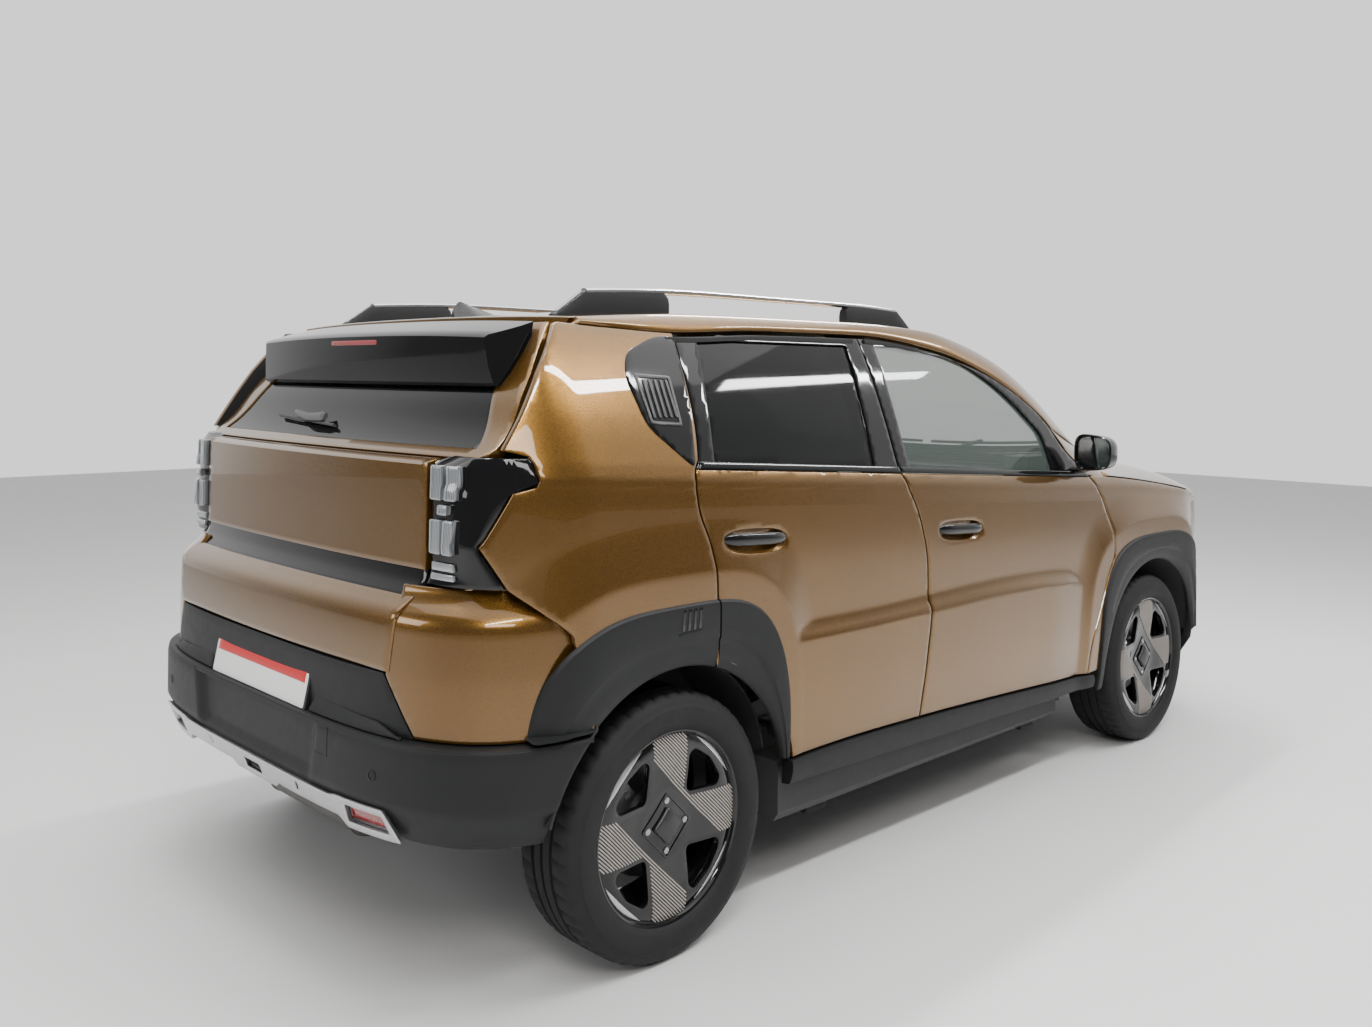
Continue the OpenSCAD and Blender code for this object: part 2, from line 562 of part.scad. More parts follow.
// Windscreen: level rows bowed between the pillars
function screen_at(u, i, pull) = let (
    e = pillar_edge(i),
    c = [px(screen_shares[i][0]), 0, pz(screen_shares[i][1])],
    y = u * (e[1] - pull)
) [mix(c[0], e[0], u * u), y, mix(c[2], e[2], u * u)];
glass_lean_shares = [0.62, 0.78];
module windscreen() {
    us = [for (i = [0 : 12]) i / 6 - 1];
    o = [for (u = us) [for (i = [0 : 4]) screen_at(u, i, seam * 2)]];
    d = [glass_lean_shares[0] * glass_thick, 0, glass_lean_shares[1] * glass_thick];
    n = [for (u = us) [for (i = [0 : 4]) screen_at(u, i, 2 * glass_thick) - d]];
    color("#6f7f7c") shell(o, n);
}

// Front wings
wing_columns = [
    function(z) edge(wing_shares, z),
    function(z) edge(front_door_shares, z) + half_gap + hem_wide,
    function(z) edge(front_door_shares, z) + half_gap + hem_wide * hem_step_share,
    function(z) edge(front_door_shares, z) + half_gap];
wing_rows = [
    function(x) hub_height + sqrt(max(0, arch_radius * arch_radius - (x - front_x) * (x - front_x))),
    function(x) level(bonnet_seam_shares, x) - half_gap];
wing_low_share = 0.3828;
module front_wings() {
    vs = [function(x) max(wing_rows[0](x), pz(wing_low_share)), wing_rows[1]];
    color(paint) both_sides() side_panel(wing_columns, vs, [10, 1, 1], [7], function(c, r) 0,
        function(c, r) c[0] == 2 ? hem_thick : wall_thick / 2);
}
// Tubs over the wheels
rear_tub_room = 82.3;
front_tub_room = 199.7;
tub_out_shares = [0.83, 0.85];
function tub_in(room) = half_track - tyre_width / 2 - room;
module tub(x, y0, y1, z0, t) {
    r = arch_radius + tub_gap;
    difference() {
        translate([x, y1, hub_height]) rotate([90, 0, 0]) cylinder(r = r + t, h = y1 - y0, $fn = 96);
        translate([x, y1 + over, hub_height]) rotate([90, 0, 0])
            cylinder(r = r, h = y1 - y0 - tub_thick + over, $fn = 96);
        translate([x - 2 * r, y0 - over, -2 * r + z0]) cube([4 * r, y1 - y0 + 2 * over, 2 * r]);
    }
}
tub_lift = 2;
tub_foot = boot_floor[0] + tub_lift;
front_tub_share = 1.76;
module wheel_houses() {
    color(dark) both_sides() {
        tub(rear_x, tub_in(rear_tub_room), py(tub_out_shares[0]), tub_foot, tub_thick);
        tub(front_x, tub_in(front_tub_room), py(tub_out_shares[1]), tub_foot,
            tub_thick * front_tub_share);
    }
}

// Bumpers: a profile carried round the plan curve
function set_back(heights, sets, z) = bumper_thick * lookup(z / roof_height, [for (i = [0 :
    len(heights) - 1]) [heights[i], sets[i]]]);
skid_angle = 30;
function rear_front(z) = min(rear_x - arch(z), edge(quarter_shares, z)) - seam;
bumper_step_share = 0.6;
rear_z = [for (s = rear_bumper_shares) pz(s)];
function rear_columns(z, d) = let (
    a = rump_at(rear_front(z), d),
    b = rump_across(across(tailgate_shares, max(z, rear_z[4])) + shut_gap, d)
) [a, max(skid_angle, a + 1), b, 180 - b, 180 - max(skid_angle, a + 1), 180 - a];
function rear_at(c, z, d) = let (
    k = rear_columns(z, d),
    p = rump(mix(k[c[0]], k[c[0] + 1], c[1]), d)
) [p[0], p[1], z];
module rear_shell(rows, from, keep, low = 0) {
    cs = stations([3, 2, 8, 2, 3]);
    zs = [for (r = rows) r];
    o = [for (c = cs) [for (z = zs) rear_at(c, z, set_back(rear_bumper_shares, rear_set_shares, z))]];
    n = [for (c = cs) [for (z = zs) rear_at(c, z, set_back(rear_bumper_shares, rear_set_shares, z) +
        bumper_thick)]];
    shell(o, n, function(i, j) keep(cs[i][0], j));
}
module rear_bumper() {
    rows = [rear_z[0], rear_z[1], rear_z[2], rear_z[3], rear_z[4] - half_gap, mix(rear_z[4],
        rear_z[5], bumper_step_share), rear_z[5] - seam];
    color(dark) rear_shell(rows, 0, function(c, j) j == 0 ? c == 0 || c == 4 : j < 4 ? true : c != 2);
}
front_z = [for (s = front_bumper_shares) pz(s)];
grille_shares = [0.3805, 0.4816, 0.5602];
grille_set_shares = [0.15, 0.1, 0.75];
grille_z = [for (s = grille_shares) pz(s)];
function front_side(z) = z <= front_z[3] ? front_x + arch(z) + seam : edge(wing_shares, z) + seam;
function front_at(c, z, d) = let (
    a = nose_at(front_side(z), d),
    b = max(skid_angle, a + 1),
    k = [a, b, 180 - b, 180 - a],
    p = nose(mix(k[c[0]], k[c[0] + 1], c[1]), d)
) [p[0], p[1], z];
module front_shell(zs, heights, sets, keep) {
    cs = stations([3, 10, 3]);
    cr = [for (i = [len(cs) - 1 : -1 : 0]) cs[i]];
    o = [for (c = cr) [for (z = zs) front_at(c, z, set_back(heights, sets, z))]];
    n = [for (c = cr) [for (z = zs) front_at(c, z, set_back(heights, sets, z) + bumper_thick)]];
    shell(o, n, function(i, j) keep(min(cr[i][0], cr[i + 1][0]), max(cr[i][0], cr[i + 1][0]), j));
}
module front_bumper() {
    rows = [front_z[0], front_z[1], front_z[2], front_z[3]];
    color(dark) front_shell(rows, front_bumper_shares, front_set_shares,
        function(a, b, j) j > 0 || !(a == 1 && b == 1 || a == 1 && b == 2));
}
module front_grille() {
    color(black) front_shell([grille_z[0], grille_z[1], grille_z[2]], grille_shares, grille_set_shares,
        function(a, b, j) true);
}
// Front lamps: blocks set on the lamp panel at each side
lamp_set_shares = [0.4537, 0.4816, 0.5463];
lamp_angle_shares = [0.21, 0.31];
lamp_proud = 6;
module head_lamps() {
    zs = [for (s = lamp_set_shares) pz(s)];
    color("#d8dcde") for (m = [0, 1]) mirror([0, m, 0]) {
        ts = [for (i = [0 : 4]) 180 * mix(lamp_angle_shares[1], lamp_angle_shares[0], i / 4)];
        f = function(t, z, d) let (p = nose(t, set_back(grille_shares, grille_set_shares, z) + d))
            [p[0], p[1], z];
        shell([for (t = ts) [for (z = zs) f(t, z, -lamp_proud)]], [for (t = ts) [for (z = zs) f(t, z,
            -seam)]]);
    }
}
skid_low = [rear_z[0], rear_z[1] - seam];
skid_seam_angle = 0.08;
module skid_plates() {
    color("#b9bcbe") {
        f = function(t, z, d) let (p = rump(t, set_back(rear_bumper_shares, rear_set_shares, z) + d))
            [p[0], p[1], z];
        ts = [for (i = [0 : 12]) mix(skid_angle + skid_seam_angle, 180 - skid_angle -
            skid_seam_angle, i / 12)];
        shell([for (t = ts) [for (z = skid_low) f(t, z, 0)]], [for (t = ts) [for (z = skid_low) f(t,
            z, bumper_thick)]]);
        g = function(t, z, d) let (p = nose(t, set_back(front_bumper_shares, front_set_shares, z) +
            d)) [p[0], p[1], z];
        zs = [front_z[0], front_z[1] - seam];
        us = [for (i = [0 : 12]) mix(180 - skid_angle - skid_seam_angle, skid_angle +
            skid_seam_angle, i / 12)];
        shell([for (t = us) [for (z = zs) g(t, z, 0)]], [for (t = us) [for (z = zs) g(t, z,
            bumper_thick)]]);
    }
}
// Tail lamps: a bent block between quarter panel, tailgate and bumper
lamp_rows_shares = [0.5868, 0.6464, 0.6527, 0.7237, 0.7288, 0.7687];
lamp_deep = 22;
lamp_corner_shares = [-0.8, 0.908];
lamp_face_shares = [0.606, 0.756];
function bend(a, b, c, t) = a * (1 - t) * (1 - t) + b * 2 * t * (1 - t) + c * t * t;
function lamp_at(t, z, d) = let (
    x = edge(quarter_shares, z) - seam * 2,
    y = across(tailgate_shares, min(z, pz(lamp_rows_shares[5]))) + shut_gap,
    a = [x, side(x, z) - d],
    c = [tail(y, min(max(z, pz(lamp_face_shares[0])), pz(lamp_face_shares[1]))) + d, y],
    b = [px(lamp_corner_shares[0]) + d, py(lamp_corner_shares[1]) - d],
    p = bend(a, b, c, t)
) [p[0], p[1], z];
module tail_lamps() {
    zs = [for (s = lamp_rows_shares) pz(s)];
    ts = [for (i = [0 : 8]) i / 8];
    color("#cfd3d4") both_sides()
        shell([for (t = ts) [for (z = zs) lamp_at(t, z, 0)]], [for (t = ts) [for (z = zs) lamp_at(t,
            z, lamp_deep)]]);
}

// Bonnet
bonnet_wide_share = 1.55;
bonnet_gap_share = 1.3;
bonnet_power = 5;
function bonnet_at(u, t) = let (
    rear = mix(px(bonnet_rear_shares[0]), px(bonnet_rear_shares[1]), u * u),
    wide = side(px(bonnet_wide_share), level(bonnet_seam_shares, px(bonnet_wide_share))),
    front = nose(nose_across(abs(u) * wide, bumper_thick), bumper_thick)[0],
    x = mix(rear, front, t),
    w = x < px(bonnet_wide_share) ? side(x, level(bonnet_seam_shares, x)) : wide,
    e = level(bonnet_seam_shares, x) + half_gap * bonnet_gap_share
) [x, u * w, mix(level(bonnet_shares, x), e, pow(abs(u), bonnet_power))];
bonnet_taper_shares = [[0.85, 1], [0.9, 0.5], [0.96, 0.1]];
function bonnet_taper(u) = lookup(u, bonnet_taper_shares);
bonnet_across_shares = [1, 0.96, 0.9, 0.8, 0.65, 0.45, 0.22, 0, -0.22, -0.45, -0.65, -0.8, -0.9,
    -0.96, -1];
module bonnet() {
    us = bonnet_across_shares;
    o = [for (u = us) [for (j = [0 : 10]) bonnet_at(u, j / 10)]];
    n = [for (u = us) [for (j = [0 : 10]) let (p = bonnet_at(u, j / 10))
        [p[0], p[1] * (1 - bonnet_thick / half_width), p[2] - bonnet_thick * bonnet_taper(abs(u))]]];
    color(paint) shell(o, n);
}

// Tailgate, its window and the spoiler above it
tail_z = [for (s = tail_heights_shares) pz(s)];
tail_rows = [
    function(y) tail_z[0], function(y) tail_z[1], function(y) tail_z[2], function(y) tail_z[3],
    function(y) tail_z[4], function(y) tail_z[5], function(y) tail_z[6]];
tail_columns = [
    function(z) across(tailgate_shares, z),
    function(z) across(tail_glass_shares, z),
    function(z) -across(tail_glass_shares, z),
    function(z) -across(tailgate_shares, z)];
module tail_panel(us, vs, nu, nv, skin, deep, keep = function(c, r) true) {
    cs = stations(nu);
    rs = stations(nv);
    pts = net(us, vs, cs, rs);
    at = function(i, j, d) [tail(pts[i][j][0], pts[i][j][1]) + d, pts[i][j][0], pts[i][j][1]];
    shell([for (i = [0 : len(cs) - 1]) [for (j = [0 : len(rs) - 1]) at(i, j, skin)]],
        [for (i = [0 : len(cs) - 1]) [for (j = [0 : len(rs) - 1]) at(i, j, is_undef(deep) ?
            lid_deep(pts[i][j][1]) : deep)]],
        function(i, j) keep(cs[i], rs[j]));
}
// The tailgate gets thinner towards its hinged edge
lid_edge = 14;
function lid_deep(z) = mix(tailgate_thick, lid_edge, clamp((z - tail_z[5]) / (tail_z[6] - tail_z[5])));
module tailgate() {
    color(paint) tail_panel(tail_columns, tail_rows, [2, 8, 2], [3, 6, 1, 1, 3, 3], 0, undef,
        function(c, r) !(c[0] == 1 && r[0] == 4));
}
module tailgate_glass() {
    us = [function(z) tail_columns[1](z) - seam, function(z) tail_columns[2](z) + seam];
    vs = [function(y) tail_z[4] + seam, function(y) tail_z[5] - seam];
    color("#1d2122") tail_panel(us, vs, [10], [4], glass_set, glass_set + glass_thick);
}
// Spoiler: a wedge over the head of the tailgate
spoiler_shares = [[0.8593, -0.5727], [0.8745, -0.5818], [0.9442, -0.5879]];
spoiler_side_shares = [[0.8593, 0.6807], [0.9506, 0.6353]];
spoiler_z = [0.8631, 0.9506];
module spoiler() {
    z0 = pz(spoiler_z[0]);
    z1 = pz(spoiler_z[1]);
    cs = [for (i = [0 : 8]) 1 - i / 4];
    zs = [for (j = [0 : 4]) mix(z0, z1, j / 4)];
    w = function(z) across(spoiler_side_shares, z);
    o = [for (c = cs) [for (z = zs) [edge(spoiler_shares, z) +
        rear_overhang * tail_bow_share * pow(abs(c), tail_power), c * w(z), z]]];
    n = [for (c = cs) [for (z = zs) [tail(c * w(z), z) - seam, c * w(z), z]]];
    color(black) shell(o, n);
}

// Cladding: sills and the rings round the wheel arches
function ring(x, f, n, a0, a1) = [for (i = [0 : n]) let (
    t = mix(a0, a1, i / n),
    k = cos(t) > 0 ? f[0] : f[1],
    q = pow(pow(abs(cos(t)) / k, flare_power) + pow(abs(sin(t)) / f[2], flare_power), -1 / flare_power)
) [t, q]];
rear_ring_shares = [1.0, 1.13, 1.375];
front_ring_shares = [1.13, 1.13, 1.255];
ring_edge_share = 0.7;
ring_in_share = 0.985;
ring_back = 2;
// Outermost of the body side and the bumpers' plan curves
function bow_across(x, c, reach, width, power) = width * pow(max(0, 1 - pow(clamp((x - c) / reach),
    power)), 1 / power);
function outside(x, z) = max(side(x, z),
    bow_across(x, px(nose_share), full_length / 2 - px(nose_share), py(nose_width_share), nose_power)
        * (x > front_x ? 1 : 0),
    bow_across(x, px(rump_share), -full_length / 2 - px(rump_share), py(rump_width_share),
        rump_power) * (x < rear_x ? 1 : 0));
// Ring between its inner and outer end angles, which differ so that its ends stand upright
module arch_ring(axle, f, a, b, n, back = ring_back) {
    ki = [for (i = [0 : n]) mix(a[0], b[0], i / n)];
    ko = ring(axle, f, n, a[1], b[1]);
    at = function(t, q, d) let (x = axle + arch_radius * q * cos(t), z = hub_height +
        arch_radius * q * sin(t))
        [x, outside(x, z) + d, z];
    row = function(i, d, e) [at(ki[i], ring_in_share, e), at(mix(ki[i], ko[i][0], 0.5), mix(ko[i][1],
        ring_in_share, 0.5), d),
        at(ko[i][0], ko[i][1], d)];
    shell([for (i = [0 : n]) row(i, cladding_thick, cladding_thick * ring_edge_share)],
        [for (i = [0 : n]) row(i, back, back)]);
}
sill_shares = [[0.1504, 0.2079], [0.4094, 0.1977], [0.7992, 0.1838]];
sill_columns_shares = [0.8094, 0.1583];
sill_proud = 5;
sill_deep = 30;
rear_ring_angles = [[73.8, 79], [186, 186]];
front_ring_angles = [[-8, -8], [186, 186]];
door_ring_angles = [[13, 13], [71.8, 77]];
module cladding() {
    us = [function(z) px(sill_columns_shares[0]), function(z) px(sill_columns_shares[1])];
    vs = [function(x) level(sill_shares, x), function(x) level(door_bottom_shares, x) - half_gap];
    color(dark) both_sides() {
        side_panel(us, vs, [10], [3], function(c, r) -sill_proud, function(c, r) sill_deep);
        arch_ring(rear_x, rear_ring_shares, rear_ring_angles[0], rear_ring_angles[1], 14);
        arch_ring(front_x, front_ring_shares, front_ring_angles[0], front_ring_angles[1], 20);
    }
}
module rear_door_ring() {
    arch_ring(rear_x, rear_ring_shares, door_ring_angles[0], door_ring_angles[1], 8, ring_back / 2);
}

// Floor and bulkhead
floor_across_shares = [0.781, 0.636];
heel_share = 0.2559;
module floor_pan() {
    color("#3a3b3a") intersection() {
        side_prism(floor_outline(), -py(floor_across_shares[0]), py(floor_across_shares[0]));
        union() {
            translate([px(heel_share), -half_width, 0]) cube([wheelbase, body_width, roof_height]);
            translate([-full_length, -py(floor_across_shares[1]), 0])
                cube([full_length + px(heel_share) + over, 2 * py(floor_across_shares[1]),
                    roof_height]);
        }
    }
}
cowl_shares = [0.6502, 0.6591];
cowl_front_share = 0.9213;
bulkhead_across_share = 0.72;
beam_size = [58, 80];
beam_gap = 14;
beam_share = 0.3042;
rest_size = [26, 60];
rest_side = 400;
module bulkhead() {
    beam_side = engine_width / 2 + beam_gap;
    x0 = wall_x - floor_thick;
    z = [for (s = cowl_shares) pz(s)];
    end = nose(nose_across(beam_side + beam_size[0], 2 * bumper_thick), bumper_thick)[0];
    u = rest_side / half_width;
    rest = level(bonnet_shares, px(cowl_front_share)) - bonnet_thick - shut_gap / 2;
    color("#3a3b3a") {
        side_prism([[x0, floor_top + seam], [wall_x, floor_top + seam], [wall_x, z[0]],
            [px(cowl_front_share), z[0]],
            [px(cowl_front_share), z[1]], [x0, z[1]]], -py(bulkhead_across_share),
                py(bulkhead_across_share));
        both_sides() {
            translate([wall_x - over, beam_side, pz(beam_share)]) cube([end - wall_x + over - seam,
                beam_size[0], beam_size[1]]);
            translate([px(cowl_front_share) - rest_size[0], rest_side, z[1] - over])
                cube([rest_size[0], rest_size[1], rest - z[1] + over]);
        }
    }
}

// Mirrors
mirror_shares = [0.7638, 1.055, 0.7237];
mirror_size = [96, 150, 128];
mirror_round = 22;
stalk_size = [70, 60, 26];
stalk_share = 0.7539;
stalk_lap = 10;
module mirror_body() {
    c = [px(mirror_shares[0]), py(mirror_shares[1]), pz(mirror_shares[2])];
    s = mirror_size / 2 - [mirror_round, mirror_round, mirror_round];
    low = c[2] - mirror_size[2] / 2 - stalk_size[2] + stalk_lap;
    foot = side(px(stalk_share), low);
    hull() for (x = [-1, 1]) for (y = [-1, 1]) for (z = [-1, 1])
        translate(c + [s[0] * x, s[1] * y, s[2] * z]) sphere(r = mirror_round, $fn = 16);
    translate([px(stalk_share), foot + seam, low])
        cube([stalk_size[0], stalk_size[1], stalk_size[2]]);
}
module mirror_left() { color(black) mirror_body(); }
module mirror_right() { color(black) right_side() mirror_body(); }

// Roof rails with their feet, and the aerial
rail_shares = [[-0.2091, 0.9886], [-0.0621, 1.0342], [0.5039, 1.0342], [0.5425, 0.9937], [0.4024,
    0.9937],
    [0.4024, 1.019], [0.0969, 1.019], [0.0969, 0.9924]];
rail_points_x = [for (s = rail_shares) px(s[0])];
function rail_seat(x) = let (e = edge_point(x), u = (rail_side - rail_width / 2) / e[1])
    mix(level(roof_shares, x), e[2], pow(u, roof_power)) + 4 * seam;
module roof_rail() {
    x = rail_points_x;
    t = rail_top;
    b = rail_top - rail_bar;
    feet = function(a, b) [for (k = [0 : 4]) let (c = mix(a, b, k / 4)) [c, rail_seat(c)]];
    side_prism(concat(feet(x[0], x[7]), [[x[6], b], [x[5], b]], feet(x[4], x[3]), [[x[2], t], [x[1],
        t]]), rail_side - rail_width / 2, rail_side + rail_width / 2);
}
fin_shares = [[0.0039, 0.9962], [-0.2121, 0.9962], [-0.2242, 1.0215], [-0.1515, 1.0215]];
fin_width = 40;
module roof_rails() {
    color("#4a4c4e") both_sides() roof_rail();
    x = [for (s = fin_shares) px(s[0])];
    color(black) side_prism([[x[0], level(roof_shares, x[0]) + seam], [x[1], level(roof_shares, x[1])
        + seam],
        [x[2], rail_top - rail_bar], [x[3], rail_top - rail_bar]], -fin_width / 2, fin_width / 2);
}

// Cabin
dash_deep = 316.2;
dash_front = wall_x - floor_thick - seam;
dash_shares = [[0, 0.3549], [0, 0.6489], [0.2715, 0.6527], [0.7149, 0.6401], [0.9683, 0.6084], [1,
    0.545],
    [0.7149, 0.4563], [0.5882, 0.3549]];
function dash_outline() = [for (s = dash_shares) [dash_front - s[0] * dash_deep, pz(s[1])]];
dash_across_share = 0.655;
column_radius = 24;
column_length = 190;
column_tilt = 24;
column_share = 0.5862;
steering_side = 335;
function column_point(d) = [dash_front - dash_deep - d * cos(column_tilt), steering_side,
    pz(column_share) + d * sin(column_tilt)];
module dashboard() {
    color("#8b8a78") {
        side_prism(dash_outline(), -py(dash_across_share), py(dash_across_share));
        translate(column_point(-column_length / 2)) rotate([0, -90 + column_tilt, 0])
            cylinder(r = column_radius, h = column_length);
    }
}
boss_radius = 70;
boss_height = 44;
spoke_width = 40;
spoke_thick = 16;
module steering_wheel() {
    color(black) translate(column_point(column_length / 2 + run_gap)) rotate([0, -90 + column_tilt,
        0]) {
        cylinder(r = boss_radius, h = boss_height);
        translate([0, 0, boss_height / 2]) rotate_extrude($fn = 96) translate([steering_radius -
            steering_rim / 2, 0])
            circle(d = steering_rim);
        for (a = [0, 90, 180]) rotate([0, 0, a + 90]) translate([0, -spoke_width / 2,
            boss_height / 2 - spoke_thick / 2])
            cube([steering_radius - steering_rim / 2, spoke_width, spoke_thick]);
    }
}
seat_shares = [[0.626, 0.2091], [0.6339, 0.2978], [0.622, 0.32], [0.4803, 0.3042], [0.4213, 0.5703],
    [0.3976, 0.6907], [0.3701, 0.6844], [0.3976, 0.4816], [0.437, 0.2091]];
headrest_shares = [[0.4008, 0.7034], [0.3917, 0.7763], [0.3622, 0.7826], [0.3602, 0.7085]];
headrest_width = 250;
module front_seats() {
    color("#33322e") both_sides() {
        side_prism(outline(seat_shares), seat_side - seat_width / 2, seat_side + seat_width / 2);
        side_prism(concat(outline(headrest_shares), [outline(seat_shares)[6] + [0, -seam],
            outline(seat_shares)[5] + [0, -seam]]),
            seat_side - headrest_width / 2, seat_side + headrest_width / 2);
        translate([outline(seat_shares)[8][0], seat_side - seat_width / 4, floor_top + seam])
            cube([outline(seat_shares)[0][0] - outline(seat_shares)[8][0], seat_width / 2,
                outline(seat_shares)[0][1] - floor_top - seam]);
    }
}
bench_half = tub_in(rear_tub_room) - bench_gap;
bench_shares = [[0.3071, 0.2446], [0.3189, 0.3042], [0.3071, 0.3295], [0.1496, 0.3169], [0.0984, 0.545],
    [0.0748, 0.6907], [0.0472, 0.6876], [0.0748, 0.4436], [0.0945, 0.2446]];
module rear_seat() {
    color("#33322e") side_prism([for (p = outline(bench_shares)) p + [0, boot_floor[1] + seam -
        pz(bench_shares[0][1])]], -bench_half, bench_half);
}

// Running gear
engine_shares = [[0.9252, 0.2091], [1.45, 0.2091], [1.45, 0.5196], [0.9252, 0.545]];
engine_gap = 83.8;
engine_width = 2 * (tub_in(front_tub_room) - engine_gap);
module engine_block() {
    color("#5a5c5e") side_prism(outline(engine_shares), -engine_width / 2, engine_width / 2);
}
king_side = half_track - king_offset;
arm_thick = 26;
arm_radius = 34;
cross_size = [300, 780, 56];
cross_set = -70;
tie_share = 0.822;
arm_drop = 24;
arm_low = floor_top - arm_drop;
arm_set = -20;
arm_wide = 100;
module front_subframe() {
    color("#303234") {
        translate([front_x + cross_set - cross_size[0] / 2, -cross_size[1] / 2, arm_low + arm_thick])
            cube(cross_size);
        both_sides() {
            translate([front_x, king_side, arm_low]) cylinder(r = arm_radius, h = arm_thick);
            translate([front_x + arm_set - arm_wide / 2, cross_size[1] / 4, arm_low]) cube([arm_wide,
                king_side - cross_size[1] / 4 - arm_radius / 2, arm_thick]);
        }
        translate([px(tie_share), -cross_size[1] / 3, floor_top - floor_thick - seam -
            cross_size[2] / 2]) cube([front_x + cross_set - px(tie_share), cross_size[1] * 2 / 3,
            cross_size[2] / 2]);
        translate([front_x + cross_set, -engine_width / 4, arm_low + arm_thick])
            cube([cross_size[0] / 2, engine_width / 2, outline(engine_shares)[0][1] - arm_low -
            arm_thick - seam]);
    }
}
strut_radius = 28;
strut_top = 688;
strut_in = 82;
bracket_share = 0.29;
upright_size = [84, 46];
pin_share = 0.7;
spindle_length = 118;
module knuckle() {
    low = arm_low + arm_thick + run_gap;
    top = pz(bracket_share);
    translate([front_x, king_side, low]) cylinder(r = arm_radius * pin_share, h = top - low);
    translate([front_x - upright_size[1] / 2, king_side - strut_in, top - upright_size[1]])
        cube([upright_size[1], strut_in, upright_size[1]]);
    translate([front_x, king_side - strut_in, top - upright_size[1]]) cylinder(r = strut_radius,
        h = strut_top - top + upright_size[1]);
    translate([front_x - upright_size[0] / 2, king_side - upright_size[1] / 2, hub_height -
        upright_size[0]])
        cube([upright_size[0], upright_size[1], 2 * upright_size[0]]);
    translate([front_x, king_side, hub_height]) rotate([-90, 0, 0]) cylinder(r = axle_bore_radius -
        run_gap, h = spindle_length);
}
module knuckle_left() { color("#55575a") knuckle(); }
module knuckle_right() { color("#55575a") right_side() knuckle(); }
beam_radius = 44;
beam_shift = 170;
trail_size = [420, 56, 70];
module rear_axle() {
    color("#303234") {
        translate([rear_x + beam_shift, king_side - trail_size[1], hub_height]) rotate([90, 0, 0])
            cylinder(r = beam_radius, h = 2 * king_side - 2 * trail_size[1]);
        both_sides() {
            translate([rear_x - trail_size[2] / 2, king_side - trail_size[1] - upright_size[1],
                hub_height - trail_size[2] / 2])
                cube([trail_size[0], trail_size[1], trail_size[2]]);
            translate([rear_x, king_side - trail_size[1] - upright_size[1] + over, hub_height])
                rotate([-90, 0, 0])
                cylinder(r = axle_bore_radius - run_gap, h = spindle_length + trail_size[1] +
                    upright_size[1] - over);
            translate([rear_x + trail_size[0] - trail_size[2], py(floor_across_shares[1]) -
                trail_size[1], hub_height])
                cube([trail_size[2], king_side - py(floor_across_shares[1]), boot_floor[0] -
                    hub_height - seam]);
        }
    }
}
pipe_radius = 26;
pipe_height = 138;
silencer_height = 236;
riser_set = 60;
silencer_size = [330, 460, 150];
silencer_share = -0.7727;
hanger = 20;
pipe_front_share = 0.812;
module exhaust() {
    z = pipe_height;
    x = px(silencer_share);
    color("#6b6d6f") {
        top = silencer_height + silencer_size[2] - pipe_radius;
        riser = x + silencer_size[0] - riser_set;
        translate([x, -silencer_size[1] / 2, silencer_height]) cube(silencer_size - [0, 0,
            pipe_radius]);
        translate([riser, 0, z]) cylinder(r = pipe_radius, h = silencer_height - z + over);
        translate([riser, 0, z + pipe_radius]) rotate([0, 90, 0])
            cylinder(r = pipe_radius, h = px(pipe_front_share) - riser);
        translate([x + silencer_size[0] / 2 - hanger / 2, -silencer_size[1] / 4, top - over])
            cube([hanger, hanger, boot_floor[0] - seam - top + over]);
    }
}

// Tyres and wheels, made round the X axis of a profile and turned to stand across the car
tyre_shares = [[0.36, 0], [0.5, 0.16], [0.49, 0.6], [0.47, 0.86], [0.4, 0.97], [0.32, 1], [-0.32, 1],
    [-0.4, 0.97],
    [-0.47, 0.86], [-0.49, 0.6], [-0.5, 0.16], [-0.36, 0]];
module tyre() {
    rotate([-90, 0, 0]) rotate_extrude($fn = 128) polygon([for (s = tyre_shares)
        [mix(rim_radius + seam, tyre_radius, s[1]), s[0] * tyre_width]]);
}
rim_wall = 8;
rim_edge_share = 0.46;
rim_seat_share = 0.37;
face_set = 30;
face_thick = 26;
hub_radius = 62;
hub_length = 58;
window_shares = [[0.42, -0.16], [0.9, -0.36], [0.97, 0], [0.9, 0.36], [0.42, 0.16]];
cap_size = 74;
cap_thick = 6;
// The wheel's outer face looks along +Y
module wheel() {
    y1 = tyre_width / 2 - face_set;
    difference() {
        union() {
            rotate([-90, 0, 0]) rotate_extrude($fn = 128) polygon([
                [rim_radius - rim_wall, -tyre_width * rim_edge_share], [rim_radius,
                    -tyre_width * rim_edge_share],
                [rim_radius, -tyre_width * rim_seat_share], [rim_radius, tyre_width * rim_seat_share],
                [rim_radius, tyre_width * rim_edge_share], [rim_radius - rim_wall,
                    tyre_width * rim_edge_share]]);
            translate([0, y1, 0]) rotate([-90, 0, 0]) cylinder(r = rim_radius - over, h = face_thick,
                $fn = 128);
            translate([0, y1 - hub_length, 0]) rotate([-90, 0, 0]) cylinder(r = hub_radius,
                h = hub_length + over);
            translate([-cap_size / 2, y1 + face_thick - over, -cap_size / 2]) cube([cap_size,
                cap_thick + over, cap_size]);
        }
        for (a = [0 : 90 : 270]) rotate([0, a, 0]) translate([0, y1 + face_thick + over, 0])
            rotate([90, 0, 0])
            linear_extrude(face_thick + 2 * over) polygon([for (s = window_shares) s * (rim_radius -
                rim_wall)]);
        translate([0, y1 - hub_length - over, 0]) rotate([-90, 0, 0]) cylinder(r = axle_bore_radius,
            h = hub_length + over);
    }
}
